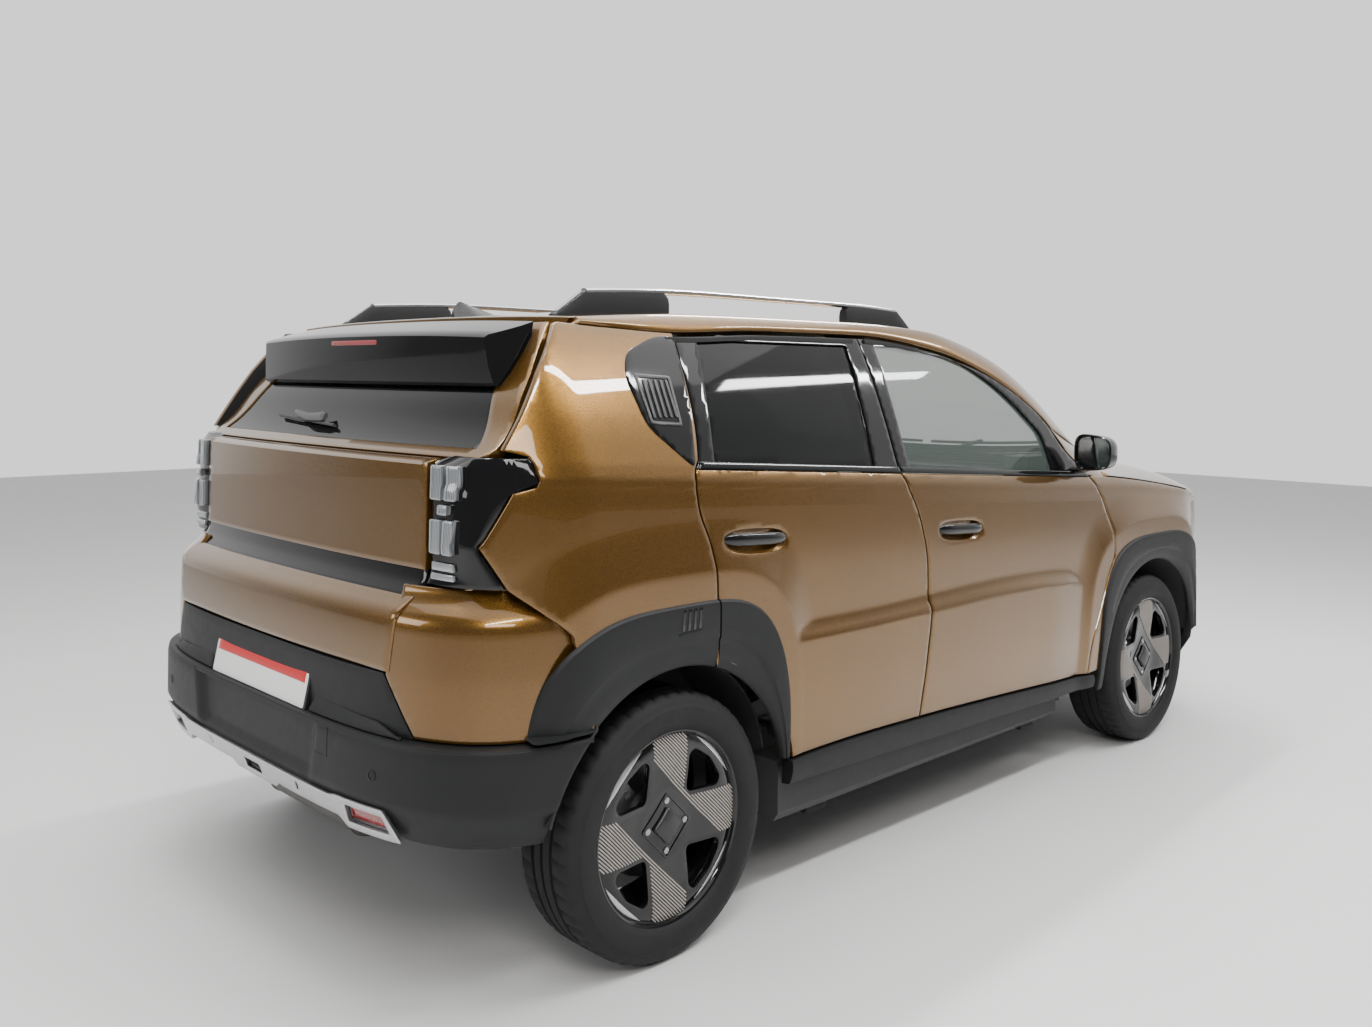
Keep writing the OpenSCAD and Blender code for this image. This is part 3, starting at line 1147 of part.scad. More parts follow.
module front_left() { translate([front_x, half_track, hub_height]) children(); }
module rear_left() { translate([rear_x, half_track, hub_height]) children(); }
module tyre_front_left() { color(black) front_left() tyre(); }
module tyre_front_right() { color(black) right_side() front_left() tyre(); }
module tyre_rear_left() { color(black) rear_left() tyre(); }
module tyre_rear_right() { color(black) right_side() rear_left() tyre(); }
module wheel_front_left() { color(black) front_left() wheel(); }
module wheel_front_right() { color(black) right_side() front_left() wheel(); }
module wheel_rear_left() { color(black) rear_left() wheel(); }
module wheel_rear_right() { color(black) right_side() rear_left() wheel(); }

floor_pan();
bulkhead();
side_frames();
hinge_posts();
roof_panel();
front_wings();
wheel_houses();
front_bumper();
front_grille();
head_lamps();
rear_bumper();
skid_plates();
tail_lamps();
windscreen();
cladding();
roof_rails();
dashboard();
steering_wheel();
front_seats();
rear_seat();
engine_block();
front_subframe();
rear_axle();
exhaust();
bonnet();
tailgate();
tailgate_glass();
spoiler();
door_front_left();
door_front_right();
door_rear_left();
door_rear_right();
glass_front_left();
glass_front_right();
glass_rear_left();
glass_rear_right();
mirror_left();
mirror_right();
knuckle_left();
knuckle_right();
tyre_front_left();
tyre_front_right();
tyre_rear_left();
tyre_rear_right();
wheel_front_left();
wheel_front_right();
wheel_rear_left();
wheel_rear_right();
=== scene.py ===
"""A small hatchback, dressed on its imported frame. Lengths here are millimetres; meshes are made in metres."""
import json
import math
import bpy
import numpy as np
from mathutils import Euler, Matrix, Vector
from mathutils.geometry import delaunay_2d_cdt

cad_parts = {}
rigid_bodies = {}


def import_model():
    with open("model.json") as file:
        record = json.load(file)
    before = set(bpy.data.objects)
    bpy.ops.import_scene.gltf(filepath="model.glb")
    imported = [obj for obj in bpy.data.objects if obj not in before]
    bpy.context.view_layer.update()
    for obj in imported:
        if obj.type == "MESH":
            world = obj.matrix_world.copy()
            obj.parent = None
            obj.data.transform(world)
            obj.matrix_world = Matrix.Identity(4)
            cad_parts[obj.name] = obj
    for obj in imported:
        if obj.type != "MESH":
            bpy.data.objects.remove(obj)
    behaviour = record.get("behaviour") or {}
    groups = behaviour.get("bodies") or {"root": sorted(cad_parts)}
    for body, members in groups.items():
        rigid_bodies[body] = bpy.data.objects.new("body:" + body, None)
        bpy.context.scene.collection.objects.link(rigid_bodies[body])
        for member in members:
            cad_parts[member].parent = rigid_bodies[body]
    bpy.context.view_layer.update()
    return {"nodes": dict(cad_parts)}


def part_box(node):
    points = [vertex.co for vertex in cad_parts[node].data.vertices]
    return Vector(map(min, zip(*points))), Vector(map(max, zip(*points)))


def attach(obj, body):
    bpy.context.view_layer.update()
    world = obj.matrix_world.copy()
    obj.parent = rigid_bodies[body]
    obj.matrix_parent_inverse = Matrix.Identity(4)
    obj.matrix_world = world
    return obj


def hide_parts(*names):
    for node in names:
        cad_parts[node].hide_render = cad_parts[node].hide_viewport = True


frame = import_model()
MM = 0.001


# Materials
class Out:
    """An output socket that adds and multiplies like a number."""

    def __init__(self, look, socket):
        self.look, self.socket = look, socket

    def op(self, kind, other):
        return self.look.add("ShaderNodeMath", [self, other], operation=kind)

    def __add__(self, other):
        return self.op("ADD", other)

    def __mul__(self, other):
        return self.op("MULTIPLY", other)

    __radd__, __rmul__ = __add__, __mul__


class Look:
    """A Principled material. Constant values sit on the shader's own sockets; only varying ones are linked."""

    def __init__(self, name, **values):
        self.mat = bpy.data.materials.new(name)
        self.mat.use_nodes = True
        self.tree = self.mat.node_tree
        self.shader = self.tree.nodes["Principled BSDF"]
        for key, value in values.items():
            self.put(self.shader.inputs[key.replace("_", " ")], value)

    def put(self, socket, value):
        if isinstance(value, Out):
            self.tree.links.new(value.socket, socket)
        elif isinstance(value, tuple) and len(value) == 3 and socket.type == "RGBA":
            socket.default_value = (*value, 1.0)
        else:
            socket.default_value = value

    def add(self, kind, inputs=(), out=0, **props):
        node = self.tree.nodes.new(kind)
        for key, value in props.items():
            setattr(node, key, value)
        pairs = inputs.items() if isinstance(inputs, dict) else enumerate(inputs)
        for key, value in pairs:
            self.put(node.inputs[key], value)
        return Out(self, node.outputs[out])

    def feed(self, key, value):
        self.put(self.shader.inputs[key], value)
        return self

    def place(self):
        return self.add("ShaderNodeTexCoord", out="Object")

    def noise(self, scale, detail=2.0, stretch=(1, 1, 1)):
        spot = self.add("ShaderNodeMapping", {"Vector": self.place(), "Scale": stretch})
        return self.add("ShaderNodeTexNoise", {"Vector": spot, "Scale": scale, "Detail": detail})

    def cells(self, scale, out="Distance"):
        return self.add("ShaderNodeTexVoronoi", {"Vector": self.place(), "Scale": scale}, out=out)


    def mix(self, share, a, b):
        return self.add("ShaderNodeMix", {0: share, 6: a, 7: b}, out=2, data_type="RGBA")

    def spread(self, value, low, high):
        return self.add("ShaderNodeMapRange", {"Value": value, "To Min": low, "To Max": high})

    def bump(self, height, strength, distance):
        normal = self.add("ShaderNodeBump", {"Height": height, "Strength": strength, "Distance": distance})
        return self.feed("Normal", normal)


def plastic(name, colour, rough, grain, strength, shift=0.25, **more):
    """Moulded plastic: a fine grain in the bump and a faint mottling of colour and roughness."""
    look = Look(name, **more)
    mottle = look.noise(14.0, 3.0)
    pale = tuple(min(1.0, c * (1 + shift) + 0.002) for c in colour)
    look.feed("Base Color", look.mix(mottle, colour + (1.0,), pale + (1.0,)))
    look.feed("Roughness", look.spread(look.noise(40.0), rough - 0.05, rough + 0.06))
    return look.bump(look.noise(grain, 2.0), strength, 0.0006)


def gloss(name, colour, rough=0.05, **more):
    """Smooth lacquered or polished face with a faint cloud in its roughness."""
    look = Look(name, Base_Color=colour, **more)
    return look.feed("Roughness", look.spread(look.noise(9.0, 3.0), rough, rough + 0.05))


paint = Look("bronze_paint", Metallic=0.8, IOR=1.5, Coat_Weight=1.0, Coat_Roughness=0.02, Coat_IOR=1.5)
flakes = paint.cells(1500.0, "Color")
flake = paint.add("ShaderNodeSeparateColor", {"Color": flakes}, out=0)
cloud = paint.noise(3.0, 2.0)
paint.feed("Base Color", paint.mix(flake * 0.55 + cloud * 0.45, (0.124, 0.057, 0.0062, 1), (0.188, 0.092, 0.012, 1)))
paint.feed("Roughness", paint.spread(flake, 0.22, 0.36))

clad = plastic("dark_cladding", (0.008, 0.0083, 0.009), 0.5, 1400.0, 0.35, Specular_IOR_Level=0.28)
liner = plastic("liner", (0.012, 0.012, 0.013), 0.8, 500.0, 0.5)
under = plastic("underbody", (0.03, 0.03, 0.031), 0.7, 260.0, 0.4)
black = gloss("gloss_black", (0.004, 0.004, 0.0045), 0.04, Coat_Weight=0.2, Coat_Roughness=0.02,
    Specular_IOR_Level=0.4)
satin = plastic("satin_black", (0.014, 0.014, 0.015), 0.36, 1800.0, 0.12)
cover_grey = plastic("cover_grey", (0.055, 0.056, 0.058), 0.42, 1500.0, 0.15)
silver = plastic("silver_trim", (0.50, 0.50, 0.51), 0.34, 2400.0, 0.06, 0.1, Metallic=0.85)
steel = plastic("bare_metal", (0.33, 0.33, 0.34), 0.32, 700.0, 0.12, 0.2, Metallic=0.95)
cast = plastic("cast_metal", (0.16, 0.16, 0.165), 0.55, 380.0, 0.35, 0.3, Metallic=0.7)
chrome = gloss("rail_bar", (0.72, 0.72, 0.72), 0.16, Metallic=1.0)
mirror_glass = gloss("mirror_glass", (0.85, 0.87, 0.88), 0.01, Metallic=1.0)
dark_glass = gloss("dark_glass", (0.0025, 0.003, 0.003), 0.01, Alpha=0.92, IOR=1.5, Specular_IOR_Level=0.32)
pale_glass = gloss("pale_glass", (0.10, 0.13, 0.115), 0.01, Alpha=0.30, IOR=1.5)
lens = Look("lamp_lens", Coat_Weight=1.0, Coat_Roughness=0.03, Roughness=0.2, Metallic=0.4)
flutes = lens.add("ShaderNodeTexWave", {"Vector": lens.place(), "Scale": 60.0}, bands_direction="Y")
lens.feed("Base Color", lens.mix(flutes, (0.16, 0.17, 0.18, 1), (0.36, 0.38, 0.40, 1)))
lens.bump(flutes, 0.3, 0.001)
edge_lens = gloss("lamp_edges", (0.42, 0.44, 0.46), 0.12, Metallic=0.5)
red = Look("red_lens", Coat_Weight=1.0, Coat_Roughness=0.04, Roughness=0.22)
hexes = red.cells(320.0)
red.feed("Base Color", red.mix(hexes, (0.16, 0.004, 0.006, 1), (0.42, 0.02, 0.024, 1)))
red.bump(hexes, 0.5, 0.001)
white = plastic("plate_white", (0.78, 0.78, 0.77), 0.35, 300.0, 0.05, 0.03)
band = plastic("plate_band", (0.55, 0.012, 0.014), 0.35, 300.0, 0.05, 0.08)
rubber = plastic("rubber", (0.009, 0.009, 0.0094), 0.72, 900.0, 0.5, 0.5, Specular_IOR_Level=0.3)
insert = plastic("wheel_insert", (0.36, 0.325, 0.30), 0.42, 900.0, 0.1, 0.1, Metallic=0.3)
cloth = Look("seat_cloth", Roughness=0.92, Sheen_Weight=0.4)
weave = cloth.add("ShaderNodeTexWave", {"Vector": cloth.place(), "Scale": 190.0, "Distortion": 1.5},
    bands_direction="DIAGONAL")
cloth.feed("Base Color", cloth.mix(weave * 0.6 + cloth.noise(60.0) * 0.4, (0.012, 0.0125, 0.013, 1),
    (0.035, 0.036, 0.038, 1)))
cloth.bump(weave, 0.5, 0.0008)
beige = plastic("dash", (0.36, 0.33, 0.25), 0.62, 1100.0, 0.3, 0.12)
trim = plastic("inner_trim", (0.05, 0.05, 0.052), 0.62, 1200.0, 0.3)


# Smooth tables
def bent(value, power):
    """Power of the size of a value, with the value's own sign."""
    return np.sign(value) * np.abs(value) ** power


def columns(*parts):
    """Arrays side by side as the coordinates of points, widened to one shape."""
    return np.stack(np.broadcast_arrays(*parts), -1)


def knots(points):
    """A list of points as an array of real numbers."""
    return np.array(points, float)


def curve(table, q):
    """Value at q of the monotone cubic through a table: slopes are weighted harmonic means of the neighbours."""
    x, y = np.asarray(table, float).T
    q = np.clip(np.asarray(q, float), x[0], x[-1])
    h = np.diff(x)
    s = np.diff(y) / h
    m = np.concatenate([s[:1], np.zeros(len(x) - 2), s[-1:]])
    same = s[:-1] * s[1:] > 0
    a, b = np.where(same, s[:-1], 1), np.where(same, s[1:], 1)
    wa, wb = 2 * h[1:] + h[:-1], h[1:] + 2 * h[:-1]
    m[1:-1] = np.where(same, (wa + wb) / (wa / a + wb / b), 0)
    i = np.clip(np.searchsorted(x, q, side="right") - 1, 0, len(h) - 1)
    u = (q - x[i]) / h[i]
    v = 1 - u
    start, stop = (1 + 2 * u) * v * v * y[i], u * u * (3 - 2 * u) * y[i + 1]
    return start + u * v * v * h[i] * m[i] + stop - u * u * v * h[i] * m[i + 1]


def line(table, q):
    """Value at q on straight lines between a table's points."""
    x, y = np.asarray(table, float).T
    return np.interp(q, x, y)


def ease(t):
    """Smooth step of t between 0 and 1."""
    t = np.clip(t, 0, 1)
    return t * t * (3 - 2 * t)


def ramp(t):
    """Rise from 0 to 1 that starts softly and ends in a crease."""
    return np.clip(t, 0, 1) ** 1.6


# The body's sizes and tables, as in the part's source
REAR_X, FRONT_X, HUB, ARCH, HALF, ROOF = -1340.0, 1200.0, 318.5, 390.0, 881.5, 1578.0
REAR_RUN, FRONT_RUN, BASE = 660.0, 800.0, 2540.0
BELT = [(-1950, 1208), (-1290, 1170), (700, 1047), (1000, 1030), (1700, 960)]
LOWER = [(0.2, 0.925), (0.34, 0.953), (0.487, 0.966), (0.66, 0.97), (0.826, 0.977), (0.922, 0.975), (0.97, 0.968),
    (1, 0.959)]
UPPER = [(0, 0.959), (0.35, 0.893), (0.8, 0.789), (1, 0.722)]
LEDGE = [(-1340, 770), (-1000, 752), (-600, 745), (40, 752), (500, 735), (800, 640)]
FRONT_DOOR = [(300, 672), (342, 679), (441, 691), (560, 745), (676, 803), (757, 845), (828, 835), (941, 790),
    (1045, 700),
              (1156, 563), (1246, 493), (1387, 258), (1469, -45), (1483, -155), (1530, -420)]
MIDDLE = [(300, -362), (398, -355), (576, -331), (722, -313), (841, -322), (984, -366), (1100, -432), (1130, -445),
    (1530, -441)]
REAR_DOOR = [(690, -1222), (849, -1228), (984, -1245), (1084, -1282), (1160, -1288), (1180, -1265), (1530, -1212)]
BOTTOM = [(-1100, 394), (-734, 402), (-355, 394), (32, 378), (679, 344), (800, 338)]
GUTTER = [(-1600, 1516), (-1400, 1506), (-1215, 1500), (-875, 1514), (-425, 1517), (-32, 1476), (258, 1387),
    (493, 1246), (563, 1156)]
QUARTER = [(560, -1600), (826, -1666), (926, -1785), (1020, -1834), (1030, -1826), (1142, -1774), (1150, -1726),
    (1213, -1736),
           (1223, -1788), (1300, -1738), (1400, -1676), (1525, -1583)]
TAIL = [(700, -1966), (735, -1968), (860, -1962), (905, -1915), (955, -1888), (1195, -1884), (1206, -1845),
    (1355, -1708),
        (1445, -1640), (1510, -1588), (1540, -1560)]
LID = [(700, 560), (740, 572), (860, 588), (905, 592), (1221, 593), (1223, 733), (1300, 712), (1400, 676),
    (1500, 631), (1540, 612)]
PILLAR = knots([(790, 750, 1140), (672, 738, 1222), (520, 716, 1335), (350, 692, 1434), (149, 664, 1508)])
SCREEN = knots([(950, 1092), (790, 1205), (610, 1325), (430, 1437), (215, 1548)])
ROOF_MID = [(-1600, 1538), (-1300, 1562), (-900, 1577), (-400, 1578), (0, 1572), (215, 1548)]
ROOF_EDGE = [(-1600, 1527), (-1064, 1556), (-422, 1560), (-83, 1548), (149, 1508)]
BONNET = [(840, 1100), (985, 1090), (1300, 1076), (1600, 1038), (1800, 985), (1930, 930), (1975, 905)]
SEAM = [(700, 1052), (900, 1035), (1250, 993), (1600, 935), (1700, 905), (1975, 890)]
GAP = 2.6


def share(x):
    """Place along the car: below 0 behind the rear axle, above 1 ahead of the front one."""
    return np.where(x < REAR_X, (x - REAR_X) / REAR_RUN,
        np.where(x > FRONT_X, 1 + (x - FRONT_X) / FRONT_RUN, (x - REAR_X) / BASE))


def arch(z):
    """Half length of a wheel arch at a height."""
    return np.sqrt(np.maximum(0, ARCH ** 2 - (z - HUB) ** 2))


def reach(x, z, axle, f):
    """Distance from an axle over the flare's crease, as a superellipse."""
    dx = np.abs(x - axle) / (ARCH * np.where(x > axle, f[0], f[1]))
    dz = np.maximum(0, z - HUB) / (ARCH * f[2])
    return (dx ** 3.5 + dz ** 3.5) ** (1 / 3.5)


def side(x, z):
    """Half width: the belt-high profile, less the narrowing to both ends, plus the flares or the door ledge."""
    x, z = np.broadcast_arrays(np.asarray(x, float), np.asarray(z, float))
    b = curve(BELT, x)
    s = share(x)
    rear = np.maximum(0, (-0.39 - s) / 0.371)
    front = np.maximum(0, (s - 1.3125) / 0.2875)
    y = HALF * np.where(z <= b, curve(LOWER, z / b),
        curve(UPPER, (z - b) / (ROOF - b))) - 125 * rear ** 2 - 41 * front ** 2
    flare = 17 * np.maximum(ramp(1 - (reach(x, z, REAR_X, (1.13, 1.22, 1.56)) - 1) / 0.2),
                            ramp(1 - (reach(x, z, FRONT_X, (1.0, 1.36, 1.42)) - 1) / 0.2))
    ledge = 16 * ramp((curve(LEDGE, x) - z) / 40) * ease((0.83 - s) / 0.15)
    y = y + 3.5 * np.exp(-((z - b + 30) / 16) ** 2)
    return y + np.maximum(flare, ledge) * ease((b - z) / 40)


def tail(y, z):
    """Face of the tail, bowed forward to the sides."""
    return curve(TAIL, z) + REAR_RUN * 0.033 * (np.abs(y) / (HALF * 0.67)) ** 2.2


class Plan:
    """Superellipse plan curve of a bumper, walked by its length from the middle of the car (left is positive)."""

    def __init__(self, centre, run, width, power):
        self.centre, self.run, self.width, self.power = centre, run, width, power
        self.t = np.linspace(0, 180, 3601)
        p = self.at(self.t, 0)
        self.walk = np.concatenate([[0], np.cumsum(np.hypot(*np.diff(p, axis=0).T))])
        self.walk = self.walk[len(self.walk) // 2] - self.walk
        self.xy = p

    def at(self, t, d):
        """Plan point at an angle: superellipse powers of its cosine and sine, set in by d."""
        t = np.radians(t)
        k, s = np.cos(t), np.abs(np.sin(t))
        run = self.run - np.sign(self.run) * d
        return columns(self.centre + run * s ** (2 / self.power),
            (self.width - d) * np.sign(k) * np.abs(k) ** (2 / self.power))

    def spot(self, w, d):
        """Plan point at a length round from the middle, set in by d."""
        return self.at(np.interp(w, self.walk[::-1], self.t[::-1]), d)

    def by_x(self, x):
        """Length round to a place along the car."""
        half = len(self.t) // 2
        order = np.argsort(self.xy[:half, 0])
        return np.interp(x, self.xy[:half, 0][order], self.walk[:half][order])

    def by_y(self, y):
        """Length round to a place across the car."""
        order = np.argsort(self.xy[:, 1])
        return np.interp(y, self.xy[:, 1][order], self.walk[order])


RUMP = Plan(-1450.0, -550.0, HALF * 0.998, 4.0)
NOSE = Plan(1450.0, 550.0, HALF * 0.985, 2.3)
REAR_SET = [(371, 72), (462, 0), (598, 0), (601, 28.5), (736, 28.5), (846, 31), (864, 36), (905, 74), (926, 82)]
FRONT_SET = [(236, 72), (340, 11), (470, 0), (600, 6), (601, 6), (760, 4), (884, 28)]


# Meshes
class Parts:
    """Points and faces of several closed forms, gathered into one object."""

    def __init__(self):
        self.points, self.faces, self.ids, self.count = [], [], [], 0

    def add(self, form, look=0):
        points, faces = form[0], form[1]
        ids = form[2] if len(form) > 2 else [0] * len(faces)
        self.points.append(np.asarray(points, float).reshape(-1, 3))
        self.faces += [[i + self.count for i in f] for f in faces]
        self.ids += [look + i for i in ids]
        self.count += len(self.points[-1])
        return self

    def both(self):
        """Adds the mirror image of all forms on the other side of the car."""
        p = np.concatenate(self.points) * (1, -1, 1)
        faces = [f[::-1] for f in self.faces]
        return self.add((p, faces, list(self.ids)))

    def object(self, name, looks, body, right=False, sharp=34.0, stand_for=(), slot=None):
        p = np.concatenate(self.points) * (1, -1 if right else 1, 1)
        faces = [f[::-1] for f in self.faces] if right else self.faces
        mesh = bpy.data.meshes.new(name)
        mesh.from_pydata((p * MM).tolist(), [], faces)
        for look in looks:
            mesh.materials.append(look.mat)
        mesh.polygons.foreach_set("material_index", np.asarray(self.ids, np.int32))
        mesh.polygons.foreach_set("use_smooth", np.ones(len(faces), bool))
        mesh.update()
        mesh.set_sharp_from_angle(angle=math.radians(sharp))
        obj = bpy.data.objects.new(name, mesh)
        bpy.context.scene.collection.objects.link(obj)
        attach(obj, body)
        if stand_for:
            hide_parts(*stand_for)
        return obj


def quads(nu, nv, round_u=False, round_v=False):
    """Faces of a net of nu by nv points, joined end to end where it goes round."""
    i, j = np.meshgrid(np.arange(nu if round_u else nu - 1), np.arange(nv if round_v else nv - 1), indexing="ij")
    a, b = (i + 1) % nu, (j + 1) % nv
    return columns(i * nv + j, a * nv + j, a * nv + b, i * nv + b).reshape(-1, 4)


def turned(points, faces, way):
    """The faces, turned over where the first points against way."""
    a, b, c = (points[i] for i in faces[len(faces) // 2][:3])
    return faces if np.dot(np.cross(b - a, c - a), way) > 0 else [f[::-1] for f in faces]


def shell(outer, inner):
    """Closed form between an outer and an inner net, with walls round the edges."""
    nu, nv = outer.shape[:2]
    n = nu * nv
    face = quads(nu, nv)
    at = np.arange(n).reshape(nu, nv)
    ring = np.concatenate([at[:, 0], at[-1, 1:], at[-2::-1, -1], at[0, -2:0:-1]])
    nxt = np.roll(ring, -1)
    wall = columns(nxt, ring, ring + n, nxt + n)
    points = np.concatenate([outer.reshape(-1, 3), inner.reshape(-1, 3)])
    faces = np.concatenate([face, face[:, ::-1] + n, wall]).tolist()
    mid = (nu // 2, nv // 2)
    head = face.tolist()
    if turned(points, head, outer[mid] - inner[mid]) is not head:
        faces = [f[::-1] for f in faces]
    return points, faces


def rolled(outer, inner, roll):
    """Shell whose outer net bends to the inner one over a length roll at its four edges."""
    d = inner - outer
    unit = d / np.maximum(np.linalg.norm(d, axis=-1, keepdims=True), 1e-9)
    nu, nv = outer.shape[:2]
    net = outer.copy()
    drop = np.zeros((nu, nv))
    for k, share_ in ((0, 1.0), (1, 0.3)):
        drop[k, :] = np.maximum(drop[k, :], share_)
        drop[nu - 1 - k, :] = np.maximum(drop[nu - 1 - k, :], share_)
        drop[:, k] = np.maximum(drop[:, k], share_)
        drop[:, nv - 1 - k] = np.maximum(drop[:, nv - 1 - k], share_)
    return shell(net + unit * (drop * roll)[..., None], inner)


def stations(n, edge):
    """Shares from 0 to 1 in n steps, with three close ones at each end."""
    mid = np.linspace(edge, 1 - edge, n)
    return np.concatenate([[0, edge * 0.35], mid, [1 - edge * 0.35, 1]])


def densify(loop, step):
    """Closed loop with points no further apart than step."""
    loop = np.asarray(loop, float)
    out = []
    for a, b in zip(loop, np.roll(loop, -1, axis=0)):
        n = max(1, int(np.ceil(np.linalg.norm(b - a) / step)))
        out.append(a + (b - a) * (np.arange(n) / n)[:, None])
    return np.concatenate(out)


def wound(loop, way):
    """Loop wound anticlockwise for way 1 and clockwise for way -1."""
    x, y = loop.T
    area = np.sum(x * np.roll(y, -1) - y * np.roll(x, -1))
    return loop if area * way > 0 else loop[::-1]


def inset(loop, d):
    """Loop moved to its left by d, with mitred corners."""
    e = np.roll(loop, -1, axis=0) - loop
    n = columns(-e[:, 1], e[:, 0]) / np.maximum(np.linalg.norm(e, axis=1, keepdims=True), 1e-9)
    m = n + np.roll(n, 1, axis=0)
    return loop + d * m / np.maximum(1 + np.sum(n * np.roll(n, 1, axis=0), axis=1, keepdims=True), 0.35)


def within(points, loops):
    """Which points lie inside the loops, by counting crossings."""
    odd = np.zeros(len(points), bool)
    x, y = points[:, 0][:, None], points[:, 1][:, None]
    for loop in loops:
        a, b = loop, np.roll(loop, -1, axis=0)
        cross = (a[:, 1] > y) != (b[:, 1] > y)
        rise = np.where(b[:, 1] == a[:, 1], 1e-9, b[:, 1] - a[:, 1])
        odd ^= (np.sum(cross & (x < (b[:, 0] - a[:, 0]) * (y - a[:, 1]) / rise + a[:, 0]), axis=1) % 2).astype(bool)
    return odd


def panel(outline, lift, thick, holes=(), step=20.0, roll=3.0, close=None):
    """Closed panel: an outline with holes, filled with a triangle net, lifted to a surface, its edges rolled over."""
    close = close or step
    loops = [wound(densify(outline, close), 1)] + [wound(densify(h, close), -1) for h in holes]
    tops = [inset(l, roll) for l in loops]
    flat = np.concatenate(tops)
    low, high = flat.min(0), flat.max(0)
    gx, gy = np.meshgrid(np.arange(low[0] + step / 2, high[0], step), np.arange(low[1] + step / 2, high[1], step))
    gx[1::2] += step / 2
    grid = columns(gx.ravel(), gy.ravel())
    grid = grid[within(grid, tops)]
    if len(grid):
        near = np.min(np.linalg.norm(grid[:, None] - flat[None], axis=2), axis=1)
        grid = grid[near > step * 0.45]
    edges, start = [], 0
    for l in tops:
        n = len(l)
        edges += [(start + k, start + (k + 1) % n) for k in range(n)]
        start += n
    got = delaunay_2d_cdt([Vector(p) for p in np.concatenate([flat, grid])], edges, [], 0, 1e-5)
    verts = np.array([tuple(v) for v in got[0]])
    place = {old: new for new, olds in enumerate(got[3]) for old in olds}
    tris = np.array([f for f in got[2] if len(f) == 3])
    tris = tris[within(verts[tris].mean(1), tops)]
    a, b, c = (verts[tris[:, k]] for k in range(3))
    area = (b[:, 0] - a[:, 0]) * (c[:, 1] - a[:, 1]) - (b[:, 1] - a[:, 1]) * (c[:, 0] - a[:, 0])
    tris = np.where((area > 0)[:, None], tris, tris[:, ::-1])
    n = len(verts)
    points = [lift(verts, np.zeros(n)), lift(verts, np.full(n, thick))]
    faces, ids = tris.tolist(), [0] * len(tris)
    faces += (tris[:, ::-1] + n).tolist()
    ids += [1] * len(tris)
    total, start = 2 * n, 0
    for l, t in zip(loops, tops):
        k = len(l)
        top = np.array([place[start + i] for i in range(k)])
        start += k
        middle = total + np.arange(k)
        low_ = middle + k
        points += [lift(inset(l, roll * 0.3), np.full(k, roll * 0.3)), lift(l, np.full(k, roll))]
        total += 2 * k
        for outer, inner in ((low_, middle), (middle, top)):
            faces += columns(outer, np.roll(outer, -1), np.roll(inner, -1), inner).tolist()
        faces += columns(np.roll(low_, -1), low_, top + n, np.roll(top, -1) + n).tolist()
        ids += [0] * (3 * k)
    points = np.concatenate(points)
    f = tris[len(tris) // 2]
    out = points[f[0]] - points[f[0] + n]
    p = points[f]
    if np.dot(np.cross(p[1] - p[0], p[2] - p[0]), out) < 0:
        faces = [q[::-1] for q in faces]
    return points, faces, ids


def on_side(raise_=0.0):
    """Lift from along and up to the left side, raised by raise_."""
    return lambda p, d: columns(p[:, 0], side(p[:, 0], p[:, 1]) + raise_ - d, p[:, 1])


def on_plan(plan, sets, raise_=0.0):
    """Lift from the walk round a bumper and up."""
    def lift(p, d):
        xy = plan.spot(p[:, 0], line(sets, p[:, 1]) - raise_ + d)
        return np.concatenate([xy, p[:, 1:]], 1)
    return lift


def rounded(points, radius, n=5):
    """Closed loop of corners, each rounded with a short quadratic bend."""
    p = np.asarray(points, float)
    out = []
    for a, b, c in zip(np.roll(p, 1, 0), p, np.roll(p, -1, 0)):
        ra = min(radius, np.linalg.norm(a - b) * 0.45)
        rc = min(radius, np.linalg.norm(c - b) * 0.45)
        s, e = b + (a - b) / np.linalg.norm(a - b) * ra, b + (c - b) / np.linalg.norm(c - b) * rc
        t = np.linspace(0, 1, n)[:, None]
        out.append(s * (1 - t) ** 2 + b * 2 * t * (1 - t) + e * t * t)
    return np.concatenate(out)


def facing(points, faces, probe, centre=None, way=None):
    """Faces all turned over if the probe's cross product of two edges points against way, or towards the centre."""
    p = points[faces[probe]]
    if np.dot(np.cross(p[1] - p[0], p[2] - p[0]), p.mean(0) - centre if way is None else way) < 0:
        faces = [q[::-1] for q in faces]
    return points, faces


def capped(net, row, k, way=None):
    """Closed skin of a net of rings with flat ends. Face k of a row looks away from its middle, or along way."""
    nu, nv = net.shape[:2]
    faces = quads(nu, nv, False, True).tolist() + [list(range(nv)), list(range((nu - 1) * nv, nu * nv))[::-1]]
    return facing(net.reshape(-1, 3), faces, row * nv + k, net[row].mean(0), way)


def sweep(profile, path, side_way, close=False):
    """Closed profile (out, across) carried along a path; out points along side_way made square to the path."""
    path, profile = np.asarray(path, float), np.asarray(profile, float)
    t = np.gradient(path, axis=0) if not close else np.roll(path, -1, 0) - np.roll(path, 1, 0)
    t /= np.linalg.norm(t, axis=1, keepdims=True)
    way = np.broadcast_to(np.asarray(side_way, float), path.shape)
    o = way - np.sum(way * t, axis=1, keepdims=True) * t
    o /= np.linalg.norm(o, axis=1, keepdims=True)
    c = np.cross(t, o)
    net = path[:, None] + profile[None, :, :1] * o[:, None] + profile[None, :, 1:] * c[:, None]
    nu, nv = net.shape[:2]
    points = net.reshape(-1, 3)
    faces = quads(nu, nv, close, True).tolist()
    if not close:
        faces += [list(range(nv)), list(range((nu - 1) * nv, nu * nv))[::-1]]
    return facing(points, faces, (nu // 2) * nv, net[nu // 2].mean(0))


